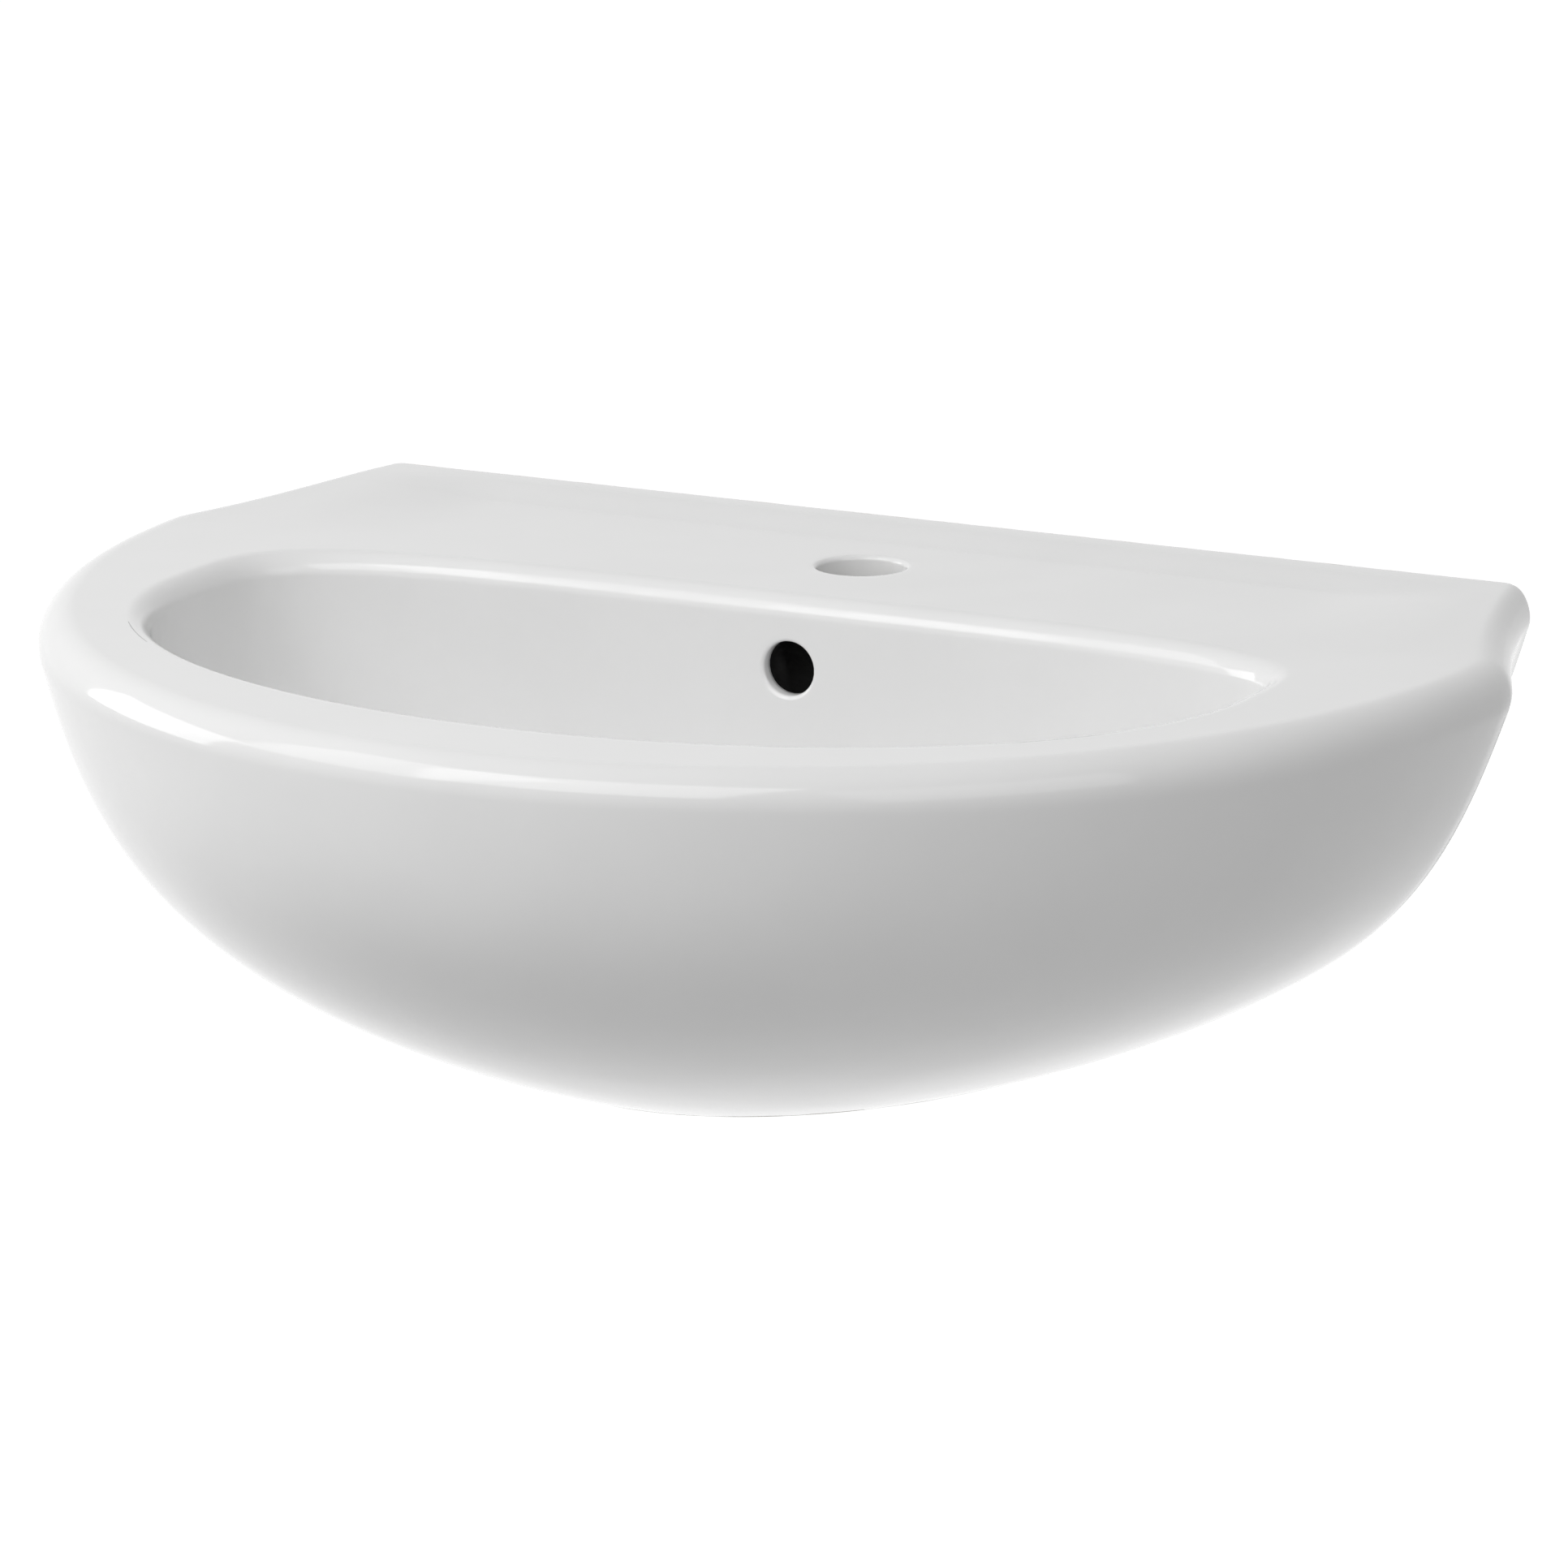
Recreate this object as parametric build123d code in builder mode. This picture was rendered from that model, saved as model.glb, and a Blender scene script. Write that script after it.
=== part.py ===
"""Ceramic basin for a pedestal, with its push waste and its wall fixings.

The origin is on the wall face, midway between the two fixing holes.
X runs to the right, the wall is the plane Y = 0, the front is at -Y, and Z is up.
Places in the ceramic are given as drops below the rim plane and distances from the wall.
"""
from build123d import *
from math import cos, sin, radians
import os

# Ceramic body
half_width = 300.0          # widest half width of the rim, before its edge is rounded
wall_half_width = 257.0     # half width where the rim meets the wall
depth = 428.0               # wall to the front of the apron
widest_at = 115.0           # wall to the widest point
body_drop = 175.0           # rim plane to the pedestal seat
shell = 10.0                # thickness of the fired ceramic
back_wall = 18.0            # thickness of the wall that is bolted back
deck_thickness = 14.0
rim_round = 14.0            # outer edge of the rim
bowl_round = 9.0            # edge where the rim turns down into the bowl
corner_round = 4.0          # upright edges at the wall
foot_round = 3.0            # edge of the pedestal seat

# How the sides run from the widest point to the wall, as shares
side_turn = 0.9
side_hold = 0.58
side_fullness = 0.36

# How the apron draws in towards the seat, as shares of its width and depth
width_taper = 0.215
width_curl = 0.373
width_curl_power = 3.6
depth_curl = 0.394
depth_curl_power = 3.15

# Bowl
bowl_half_width = 222.0
bowl_back = 135.0           # wall to the back wall of the bowl
bowl_front = 369.0
bowl_widest_at = 211.0
bowl_depth = 120.0
bowl_corner_power = 4.2     # squareness of the two rear corners
bowl_floor_power = 3.6      # squareness between the wall and the floor

# Back lip
lip_height = 4.0
lip_flat = 10.0
lip_foot = 34.0             # wall to where the lip has run out into the deck
lip_half_length = 246.0
lip_end = 14.0              # length over which each end runs out
lip_root = 1.0              # how far the lip is rooted in the deck

# Tap hole and overflow hole
tap_hole_diameter = 35.0
tap_hole_at = 72.0
tap_hole_round = 2.0
overflow_diameter = 21.5
overflow_drop = 28.5

# Outlet and overflow channel
outlet_at = 201.0           # wall to the outlet
outlet_diameter = 46.0
outlet_recess_diameter = 68.0
outlet_recess_depth = 4.0
outlet_boss_diameter = 74.0
outlet_boss_length = 38.0   # bowl floor to the underside of the boss
channel_wall = 6.0          # between the bowl and the channel
channel_width = 36.0
channel_depth = 17.0
channel_height = 12.0       # of the passage under the bowl
channel_top_drop = 16.0
passage_step = 2.5          # bowl floor's underside to the passage

# Wall fixings
fixing_drop = 65.0          # rim plane to the fixing holes
fixing_spacing = 280.0
fixing_hole_diameter = 14.4
lug_diameter = 40.0
lug_depth = 6.0
bolt_diameter = 10.0
bolt_point = 12.0
bolt_in_wall = 65.0
bolt_spare = 8.0            # thread left beyond the nut
sleeve_flange_diameter = 28.0
sleeve_flange = 2.5
washer_diameter = 24.0
washer_thickness = 2.0
nut_across_flats = 16.0
nut_thickness = 8.0
wall_plug_diameter = 14.0
wall_plug_length = 60.0

# Waste
thread_diameter = 41.91     # outside of the tail's pipe thread
tail_bore = 36.0
tail_length = 63.0          # underside of the flange to the end of the tail
flange_diameter = 64.0
flange_thickness = 4.0
flange_seal_thickness = 2.0
flange_seal_diameter = 62.0
dish_diameter = 52.0        # shallow seat for the plug in the flange
dish_depth = 2.0
slot_width = 24.0           # each of the two overflow slots in the tail
slot_height = 12.0
bridge_drop = 35.0          # underside of the flange to the top of the bridge
bridge_thickness = 7.0
bridge_width = 6.0
hub_diameter = 15.0
lower_seal_thickness = 5.0
lower_seal_diameter = 60.0
lower_seal_small_diameter = 54.0
friction_washer_thickness = 2.0
friction_washer_diameter = 58.0
back_nut_across_flats = 55.0
back_nut_thickness = 8.0

# Push cartridge and plug
plug_travel = 8.0
cap_diameter = 49.0
cap_edge = 2.5              # thickness of the cap at its edge
cap_crown = 3.5             # how far its top rises to the middle
cap_boss_diameter = 12.0
cap_boss_length = 6.0
plug_seal_thickness = 1.6
plug_seal_width = 4.0
stem_diameter = 6.0
lock_nut_across_flats = 10.0
lock_nut_thickness = 3.0
sleeve_diameter = 15.0
sleeve_bore = 11.0
sleeve_floor = 3.0
spigot_diameter = 8.0
collar_thickness = 3.0
collar_bore = 8.0
plunger_head = 5.0          # length of the plunger's guided head
plunger_gap = 1.0           # lock nut to the top of the plunger
rotor_length = 4.0
rotor_bore = 5.0
spring_wire = 0.8
spring_turns = 5
spring_diameter = 8.4       # middle of the wire

# Clearances
fit_gap = 0.05              # all round, running and threaded fits
loose_gap = 0.3             # between faces that only come close

rim_z = fixing_drop
behind_wall = 40.0          # how far the rough body runs past the wall before it is cut
body_levels = (0.0, 0.18, 0.36, 0.54, 0.7, 0.84, 1.0)
bowl_angles = (0, 16, 32, 46, 58, 68, 76, 82)
mouth_angles = (0, 22, 45, 68, 90)
corner_angles = (12, 24, 36, 48, 60, 72, 81)


def drop(distance):
    """Height of a plane a given distance below the rim."""
    return rim_z - distance


def body_section(fraction, inset=0.0):
    """Closed outline of the body at a fraction of its drop.

    The front is half an ellipse. The sides draw in towards the wall and run on past it.
    """
    wide = 1 - width_taper * fraction - width_curl * fraction**width_curl_power
    deep = 1 - depth_curl * fraction**depth_curl_power
    a = half_width * wide - inset
    b = wall_half_width * wide - inset
    front = depth * deep - inset
    c = widest_at * deep
    side_x = b + side_fullness * (a - b)
    back_x = b - (side_x - b) / (side_hold * c) * behind_wall
    with BuildSketch(Plane.XY.offset(drop(body_drop * fraction))) as section:
        with BuildLine():
            EllipticalCenterArc((0, -c), a, front - c, start_angle=270, arc_size=90)
            Bezier((a, -c), (a, -side_turn * c), (side_x, -side_hold * c), (b, 0))
            Polyline((b, 0), (back_x, behind_wall), (0, behind_wall))
            mirror(about=Plane.YZ)
        make_face()
    return section.sketch


def bowl_outline(height, size, grow):
    """Closed outline of the bowl, shrunk about the outlet to a size from 0 to 1.

    The front is half an ellipse and the rear half a squarer superellipse.
    """
    centre = outlet_at + (bowl_widest_at - outlet_at) * size
    a = bowl_half_width * size + grow
    front = (bowl_front - bowl_widest_at) * size + grow
    back = (bowl_widest_at - bowl_back) * size + grow
    power = 2 / bowl_corner_power
    corner = [
        (a * cos(radians(t)) ** power, back * sin(radians(t)) ** power - centre)
        for t in corner_angles
    ]
    with BuildSketch(Plane.XY.offset(height)) as section:
        with BuildLine():
            EllipticalCenterArc((0, -centre), a, front, start_angle=270, arc_size=90)
            Spline((a, -centre), *corner, (0, back - centre), tangents=((0, 1), (-1, 0)))
            mirror(about=Plane.YZ)
        make_face()
    return section.sketch


def bowl_section(angle, grow=0.0):
    """Outline of the bowl where its wall has curled in by an angle from 0 to 90."""
    power = 2 / bowl_floor_power
    height = drop((bowl_depth + grow) * sin(radians(angle)) ** power)
    return bowl_outline(height, cos(radians(angle)) ** power, grow)


def mouth_section(angle):
    """Outline of the rounded mouth: a quarter circle from the rim plane to the bowl wall."""
    height = drop(bowl_round * (1 - cos(radians(angle))))
    return bowl_outline(height, 1, bowl_round * (1 - sin(radians(angle))))


def body_solid(inset, levels):
    """Body drawn through its outlines, set in by a thickness."""
    with BuildPart() as solid:
        loft(sections=[body_section(fraction, inset) for fraction in levels])
    return solid.part


with BuildPart() as bowl:
    loft(sections=[bowl_section(angle) for angle in bowl_angles])
with BuildPart() as bowl_mouth:
    loft(sections=[mouth_section(angle) for angle in mouth_angles])
with BuildPart() as bowl_outside:
    loft(sections=[bowl_section(angle, shell) for angle in bowl_angles])

# Heights and places that the waste shares with the ceramic
seat_z = drop(bowl_depth + outlet_recess_depth)
boss_foot_z = drop(bowl_depth + outlet_boss_length)
channel_front = bowl_back - channel_wall
channel_back = channel_front - channel_depth
passage_z = drop(bowl_depth + shell + passage_step + channel_height / 2)
outlet = Location((0, -outlet_at))

# Hollow under the deck and round the bowl, open below
cavity_levels = (deck_thickness / body_drop, *body_levels[1:-1], 1.0, 1.03)
with BuildPart() as cavity:
    add(body_solid(shell, cavity_levels))
    split(bisect_by=Plane.XZ.offset(back_wall), keep=Keep.TOP)
    add(bowl_outside.part, mode=Mode.SUBTRACT)
    # Outlet boss
    with BuildSketch(Plane.XY.offset(boss_foot_z)):
        with Locations(outlet):
            Circle(outlet_boss_diameter / 2)
    extrude(amount=outlet_boss_length, mode=Mode.SUBTRACT)
    # Walls of the overflow channel
    channel_length = outlet_at - channel_back + shell
    with BuildSketch(Plane.XY.offset(boss_foot_z + shell / 2)):
        with Locations((0, -outlet_at + channel_length / 2)):
            Rectangle(channel_width + 2 * shell, channel_length)
    extrude(until=Until.LAST, mode=Mode.SUBTRACT)
    # Lugs that the fixings pass through
    with BuildSketch(Plane.XZ.offset(back_wall)):
        with GridLocations(fixing_spacing, 1, 2, 1):
            Circle(lug_diameter / 2)
    extrude(amount=lug_depth, mode=Mode.SUBTRACT)

# Lip along the wall, an S curve towards the front and run out at both ends
with BuildPart() as lip:
    with BuildSketch(Plane.YZ):
        with BuildLine():
            Polyline(
                (-lip_foot, rim_z), (-lip_foot, rim_z - lip_root), (0, rim_z - lip_root),
                (0, rim_z + lip_height), (-lip_flat, rim_z + lip_height),
            )
            lip_middle = (lip_flat + lip_foot) / 2
            Bezier(
                (-lip_flat, rim_z + lip_height), (-lip_middle, rim_z + lip_height),
                (-lip_middle, rim_z), (-lip_foot, rim_z),
            )
        make_face()
    extrude(amount=lip_half_length, both=True)
    with BuildSketch(Plane.XZ):
        with BuildLine():
            lip_straight = lip_half_length - lip_end
            Polyline(
                (0, rim_z + lip_height), (0, rim_z - lip_root),
                (lip_half_length, rim_z - lip_root), (lip_half_length, rim_z),
            )
            Bezier(
                (lip_half_length, rim_z), (lip_half_length, rim_z + lip_height),
                (lip_straight, rim_z + lip_height),
            )
            Line((lip_straight, rim_z + lip_height), (0, rim_z + lip_height))
        make_face()
        mirror(about=Plane.YZ)
    extrude(amount=lip_foot, mode=Mode.INTERSECT)

with BuildPart() as basin:
    add(body_solid(0, body_levels))
    fillet(basin.faces().sort_by(Axis.Z)[-1].edges().sort_by(Axis.Y)[:-3], rim_round)
    split(bisect_by=Plane.XZ, keep=Keep.TOP)
    wall_edges = basin.edges().filter_by_position(Axis.Y, -0.01, 0.01)
    fillet(wall_edges.filter_by_position(Axis.Z, drop(0.9 * body_drop), 0), corner_round)
    foot_edges = basin.faces().sort_by(Axis.Z)[0].edges()
    fillet(foot_edges.sort_by(Axis.Y)[:-1], foot_round)
    add(cavity.part, mode=Mode.SUBTRACT)
    add(bowl.part, mode=Mode.SUBTRACT)
    add(bowl_mouth.part, mode=Mode.SUBTRACT)
    add(lip.part)
    # Tap hole
    with BuildSketch(Plane.XY.offset(rim_z)):
        with Locations((0, -tap_hole_at)):
            Circle(tap_hole_diameter / 2)
    extrude(amount=-2 * deck_thickness, mode=Mode.SUBTRACT)
    tap_edge = basin.edges().filter_by(GeomType.CIRCLE).filter_by_position(
        Axis.Z, rim_z - 0.1, rim_z + 0.1
    )
    fillet(tap_edge, tap_hole_round)
    # Overflow hole, channel behind the bowl and passage to the outlet
    with BuildSketch(Plane.XZ.offset(channel_back + shell)):
        with Locations((0, drop(overflow_drop))):
            Circle(overflow_diameter / 2)
    extrude(amount=outlet_at - channel_back, mode=Mode.SUBTRACT)
    with BuildSketch(Plane.XY.offset(passage_z - channel_height / 2)):
        with Locations((0, -(channel_front + channel_back) / 2)):
            Rectangle(channel_width, channel_depth)
    extrude(amount=drop(channel_top_drop) - passage_z + channel_height / 2, mode=Mode.SUBTRACT)
    with BuildSketch(Plane.XZ.offset(channel_back)):
        with Locations((0, passage_z)):
            Rectangle(channel_width, channel_height)
    extrude(amount=outlet_at - channel_back, mode=Mode.SUBTRACT)
    # Outlet with the recess for the flange
    with BuildSketch(Plane.XY.offset(seat_z)):
        with Locations(outlet):
            Circle(outlet_recess_diameter / 2)
    extrude(amount=bowl_depth / 2, mode=Mode.SUBTRACT)
    with BuildSketch(Plane.XY.offset(boss_foot_z)):
        with Locations(outlet):
            Circle(outlet_diameter / 2)
    extrude(amount=outlet_boss_length, mode=Mode.SUBTRACT)
    # Fixing holes
    with BuildSketch(Plane.XZ):
        with GridLocations(fixing_spacing, 1, 2, 1):
            Circle(fixing_hole_diameter / 2)
    extrude(amount=back_wall + lug_depth, mode=Mode.SUBTRACT)

# Waste body: flange, slotted tail and the bridge that carries the cartridge
flange_z = seat_z + flange_seal_thickness
tail_end_z = flange_z - tail_length
bridge_z = flange_z - bridge_drop
with BuildPart() as waste_body:
    with BuildSketch(Plane.XY.offset(tail_end_z)):
        with Locations(outlet):
            Circle(thread_diameter / 2)
    extrude(amount=tail_length)
    with BuildSketch(Plane.XY.offset(flange_z)):
        with Locations(outlet):
            Circle(flange_diameter / 2)
    extrude(amount=flange_thickness)
    fillet(waste_body.edges().group_by(Axis.Z)[-1], 0.6 * flange_thickness)
    with BuildSketch(Plane.XY.offset(flange_z + flange_thickness - dish_depth)):
        with Locations(outlet):
            Circle(dish_diameter / 2)
    extrude(amount=dish_depth, mode=Mode.SUBTRACT)
    with BuildSketch(Plane.XY.offset(tail_end_z)):
        with Locations(outlet):
            Circle(tail_bore / 2)
    extrude(amount=tail_length + flange_thickness, mode=Mode.SUBTRACT)
    with BuildSketch(Plane.XZ.offset(outlet_at - thread_diameter)):
        with Locations((0, passage_z)):
            Rectangle(slot_width, slot_height)
    extrude(amount=2 * thread_diameter, mode=Mode.SUBTRACT)
    with BuildSketch(Plane.XY.offset(bridge_z)):
        with Locations(outlet):
            Rectangle(tail_bore + 0.5 * (thread_diameter - tail_bore), bridge_width)
            Circle(hub_diameter / 2)
    extrude(amount=-bridge_thickness)
    with BuildSketch(Plane.XY.offset(bridge_z)):
        with Locations(outlet):
            Circle(spigot_diameter / 2 + fit_gap)
    extrude(amount=-bridge_thickness, mode=Mode.SUBTRACT)


def ring(bottom, height, outer_diameter, inner_diameter):
    """Flat ring round the outlet's axis, added to the part being built."""
    with BuildSketch(Plane.XY.offset(bottom)) as section:
        with Locations(outlet):
            Circle(outer_diameter / 2)
            Circle(inner_diameter / 2, mode=Mode.SUBTRACT)
    extrude(section.sketch, amount=height)


with BuildPart() as flange_seal:
    ring(seat_z, flange_seal_thickness, flange_seal_diameter, thread_diameter + 2 * loose_gap)

# Seal, washer and nut that draw the waste down from below
lower_seal_z = boss_foot_z - lower_seal_thickness
with BuildPart() as lower_seal:
    with BuildSketch(Plane.XY.offset(boss_foot_z)):
        with Locations(outlet):
            Circle(lower_seal_diameter / 2)
    with BuildSketch(Plane.XY.offset(lower_seal_z)):
        with Locations(outlet):
            Circle(lower_seal_small_diameter / 2)
    loft()
    with BuildSketch(Plane.XY.offset(lower_seal_z)):
        with Locations(outlet):
            Circle(thread_diameter / 2 + loose_gap)
    extrude(amount=lower_seal_thickness, mode=Mode.SUBTRACT)

friction_washer_z = lower_seal_z - friction_washer_thickness
with BuildPart() as friction_washer:
    ring(
        friction_washer_z,
        friction_washer_thickness,
        friction_washer_diameter,
        thread_diameter + 2 * loose_gap,
    )

back_nut_z = friction_washer_z - back_nut_thickness
with BuildPart() as back_nut:
    with BuildSketch(Plane.XY.offset(back_nut_z)):
        with Locations(outlet):
            RegularPolygon(back_nut_across_flats / 2, 6, major_radius=False)
            Circle(thread_diameter / 2 + fit_gap, mode=Mode.SUBTRACT)
    extrude(amount=back_nut_thickness)
    chamfer(back_nut.faces().sort_by(Axis.Z)[0].outer_wire().edges(), 1)

# Cartridge: sleeve screwed into the bridge, with its collar
dish_z = flange_z + flange_thickness - dish_depth
cap_z = dish_z + plug_seal_thickness + loose_gap
collar_top_z = cap_z - cap_boss_length - lock_nut_thickness - plunger_gap
collar_z = collar_top_z - collar_thickness
sleeve_z = bridge_z
with BuildPart() as cartridge_sleeve:
    with BuildSketch(Plane.XY.offset(sleeve_z)):
        with Locations(outlet):
            Circle(sleeve_diameter / 2)
    extrude(amount=collar_z - sleeve_z)
    with BuildSketch(Plane.XY.offset(sleeve_z + sleeve_floor)):
        with Locations(outlet):
            Circle(sleeve_bore / 2)
    extrude(amount=collar_z - sleeve_z - sleeve_floor, mode=Mode.SUBTRACT)
    with BuildSketch(Plane.XY.offset(sleeve_z)):
        with Locations(outlet):
            Circle(spigot_diameter / 2)
    extrude(amount=-bridge_thickness)

with BuildPart() as cartridge_collar:
    ring(collar_z, collar_thickness, sleeve_diameter, collar_bore)

# Plunger, rotor and spring inside the sleeve
plunger_top_z = collar_z - plug_travel - loose_gap
rotor_top_z = plunger_top_z - plunger_head - fit_gap
rotor_z = rotor_top_z - rotor_length
plunger_rod_diameter = collar_bore - 2 * fit_gap
with BuildPart() as plunger:
    with BuildSketch(Plane.XY.offset(plunger_top_z - plunger_head)):
        with Locations(outlet):
            Circle(sleeve_bore / 2 - fit_gap)
    extrude(amount=plunger_head)
    with BuildSketch(Plane.XY.offset(plunger_top_z)):
        with Locations(outlet):
            Circle(plunger_rod_diameter / 2)
    extrude(amount=collar_top_z - plunger_top_z)
    with BuildSketch(Plane.XY.offset(rotor_z)):
        with Locations(outlet):
            Circle(rotor_bore / 2 - fit_gap)
    extrude(amount=rotor_length + 2 * fit_gap)
    with BuildSketch(Plane.XY.offset(collar_top_z)):
        with Locations(outlet):
            Circle(stem_diameter / 2 + fit_gap)
    extrude(amount=-(collar_top_z - plunger_top_z), mode=Mode.SUBTRACT)

with BuildPart() as rotor:
    with BuildSketch(Plane.XY.offset(rotor_z)):
        with Locations(outlet):
            Circle(sleeve_bore / 2 - loose_gap)
            Circle(rotor_bore / 2, mode=Mode.SUBTRACT)
            with PolarLocations(sleeve_bore / 2 - loose_gap, 4):
                Circle(1.0, mode=Mode.SUBTRACT)
    extrude(amount=rotor_length)

spring_foot_z = sleeve_z + sleeve_floor + spring_wire / 2
spring_height = rotor_z - spring_foot_z - spring_wire / 2 - fit_gap
with BuildPart() as plug_spring:
    with BuildLine():
        coil = Helix(
            spring_height / spring_turns,
            spring_height,
            spring_diameter / 2,
            center=(0, -outlet_at, spring_foot_z),
        )
    with BuildSketch(Plane(origin=coil @ 0, z_dir=coil % 0)):
        Circle(spring_wire / 2)
    sweep()

# Plug: crowned cap with its boss, seal, stem and lock nut
with BuildPart() as plug_cap:
    with BuildSketch(Plane.XY.offset(cap_z)):
        with Locations(outlet):
            Circle(cap_diameter / 2)
    extrude(amount=cap_edge + cap_crown)
    crown_radius = ((cap_diameter / 2) ** 2 + cap_crown**2) / (2 * cap_crown)
    with Locations((0, -outlet_at, cap_z + cap_edge + cap_crown - crown_radius)):
        Sphere(crown_radius, mode=Mode.INTERSECT)
    with BuildSketch(Plane.XY.offset(cap_z)):
        with Locations(outlet):
            Circle(cap_boss_diameter / 2)
    extrude(amount=-cap_boss_length)
    with BuildSketch(Plane.XY.offset(cap_z - cap_boss_length)):
        with Locations(outlet):
            Circle(stem_diameter / 2 + fit_gap)
    extrude(amount=cap_boss_length + 0.5, mode=Mode.SUBTRACT)

with BuildPart() as plug_seal:
    ring(
        cap_z - plug_seal_thickness,
        plug_seal_thickness,
        cap_diameter - 2,
        cap_diameter - 2 - 2 * plug_seal_width,
    )

stem_foot_z = plunger_top_z + 0.5
with BuildPart() as plug_stem:
    with BuildSketch(Plane.XY.offset(stem_foot_z)):
        with Locations(outlet):
            Circle(stem_diameter / 2)
    extrude(amount=cap_z - stem_foot_z)

with BuildPart() as lock_nut:
    with BuildSketch(Plane.XY.offset(cap_z - cap_boss_length)):
        with Locations(outlet):
            RegularPolygon(lock_nut_across_flats / 2, 6, major_radius=False)
            Circle(stem_diameter / 2 + fit_gap, mode=Mode.SUBTRACT)
    extrude(amount=-lock_nut_thickness)

# Wall fixings, one pair of each
lug_z = back_wall + lug_depth
sleeve_face = lug_z + sleeve_flange
washer_face = sleeve_face + washer_thickness
nut_face = washer_face + nut_thickness
bolt_end = nut_face + bolt_spare
with BuildPart() as hanger_bolts:
    with BuildSketch(Plane.XZ.offset(bolt_end)):
        with GridLocations(fixing_spacing, 1, 2, 1):
            Circle(bolt_diameter / 2)
    extrude(amount=-(bolt_end + bolt_in_wall - bolt_point))
    with BuildSketch(Plane.XZ.offset(bolt_point - bolt_in_wall)):
        with GridLocations(fixing_spacing, 1, 2, 1):
            Circle(bolt_diameter / 2)
    extrude(amount=-bolt_point, taper=18)
    chamfer(hanger_bolts.faces().group_by(Axis.Y)[0].edges(), 1)

with BuildPart() as bolt_sleeves:
    with BuildSketch(Plane.XZ):
        with GridLocations(fixing_spacing, 1, 2, 1):
            Circle(fixing_hole_diameter / 2 - fit_gap)
    extrude(amount=lug_z)
    with BuildSketch(Plane.XZ.offset(lug_z)):
        with GridLocations(fixing_spacing, 1, 2, 1):
            Circle(sleeve_flange_diameter / 2)
    extrude(amount=sleeve_flange)
    with BuildSketch(Plane.XZ):
        with GridLocations(fixing_spacing, 1, 2, 1):
            Circle(bolt_diameter / 2 + fit_gap)
    extrude(amount=sleeve_face, mode=Mode.SUBTRACT)

with BuildPart() as bolt_washers:
    with BuildSketch(Plane.XZ.offset(sleeve_face)):
        with GridLocations(fixing_spacing, 1, 2, 1):
            Circle(washer_diameter / 2)
            Circle(bolt_diameter / 2 + loose_gap, mode=Mode.SUBTRACT)
    extrude(amount=washer_thickness)

with BuildPart() as bolt_nuts:
    with BuildSketch(Plane.XZ.offset(washer_face)):
        with GridLocations(fixing_spacing, 1, 2, 1):
            RegularPolygon(nut_across_flats / 2, 6, major_radius=False)
            Circle(bolt_diameter / 2 + fit_gap, mode=Mode.SUBTRACT)
    extrude(amount=nut_thickness)

with BuildPart() as wall_plugs:
    with BuildSketch(Plane.XZ):
        with GridLocations(fixing_spacing, 1, 2, 1):
            Circle(wall_plug_diameter / 2)
    extrude(amount=-wall_plug_length)
    with BuildSketch(Plane.XZ):
        with GridLocations(fixing_spacing, 1, 2, 1):
            Circle(bolt_diameter / 2 + fit_gap)
    extrude(amount=-wall_plug_length, mode=Mode.SUBTRACT)

os.makedirs("parts", exist_ok=True)
basin.part.label = "basin"
export_step(basin.part, "parts/basin.step")
waste_body.part.label = "waste_body"
export_step(waste_body.part, "parts/waste_body.step")
flange_seal.part.label = "flange_seal"
export_step(flange_seal.part, "parts/flange_seal.step")
lower_seal.part.label = "lower_seal"
export_step(lower_seal.part, "parts/lower_seal.step")
friction_washer.part.label = "friction_washer"
export_step(friction_washer.part, "parts/friction_washer.step")
back_nut.part.label = "back_nut"
export_step(back_nut.part, "parts/back_nut.step")
cartridge_sleeve.part.label = "cartridge_sleeve"
export_step(cartridge_sleeve.part, "parts/cartridge_sleeve.step")
cartridge_collar.part.label = "cartridge_collar"
export_step(cartridge_collar.part, "parts/cartridge_collar.step")
plunger.part.label = "plunger"
export_step(plunger.part, "parts/plunger.step")
rotor.part.label = "rotor"
export_step(rotor.part, "parts/rotor.step")
plug_spring.part.label = "plug_spring"
export_step(plug_spring.part, "parts/plug_spring.step")
plug_cap.part.label = "plug_cap"
export_step(plug_cap.part, "parts/plug_cap.step")
plug_seal.part.label = "plug_seal"
export_step(plug_seal.part, "parts/plug_seal.step")
plug_stem.part.label = "plug_stem"
export_step(plug_stem.part, "parts/plug_stem.step")
lock_nut.part.label = "lock_nut"
export_step(lock_nut.part, "parts/lock_nut.step")
hanger_bolts.part.label = "hanger_bolts"
export_step(hanger_bolts.part, "parts/hanger_bolts.step")
bolt_sleeves.part.label = "bolt_sleeves"
export_step(bolt_sleeves.part, "parts/bolt_sleeves.step")
bolt_washers.part.label = "bolt_washers"
export_step(bolt_washers.part, "parts/bolt_washers.step")
bolt_nuts.part.label = "bolt_nuts"
export_step(bolt_nuts.part, "parts/bolt_nuts.step")
wall_plugs.part.label = "wall_plugs"
export_step(wall_plugs.part, "parts/wall_plugs.step")
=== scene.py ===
"""Looks of the ceramic basin, its push waste and its wall fixings."""
import bpy
import bmesh
import numpy as np
from math import cos, radians, sin, tan, pi
from mathutils import Matrix, Vector


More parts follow.
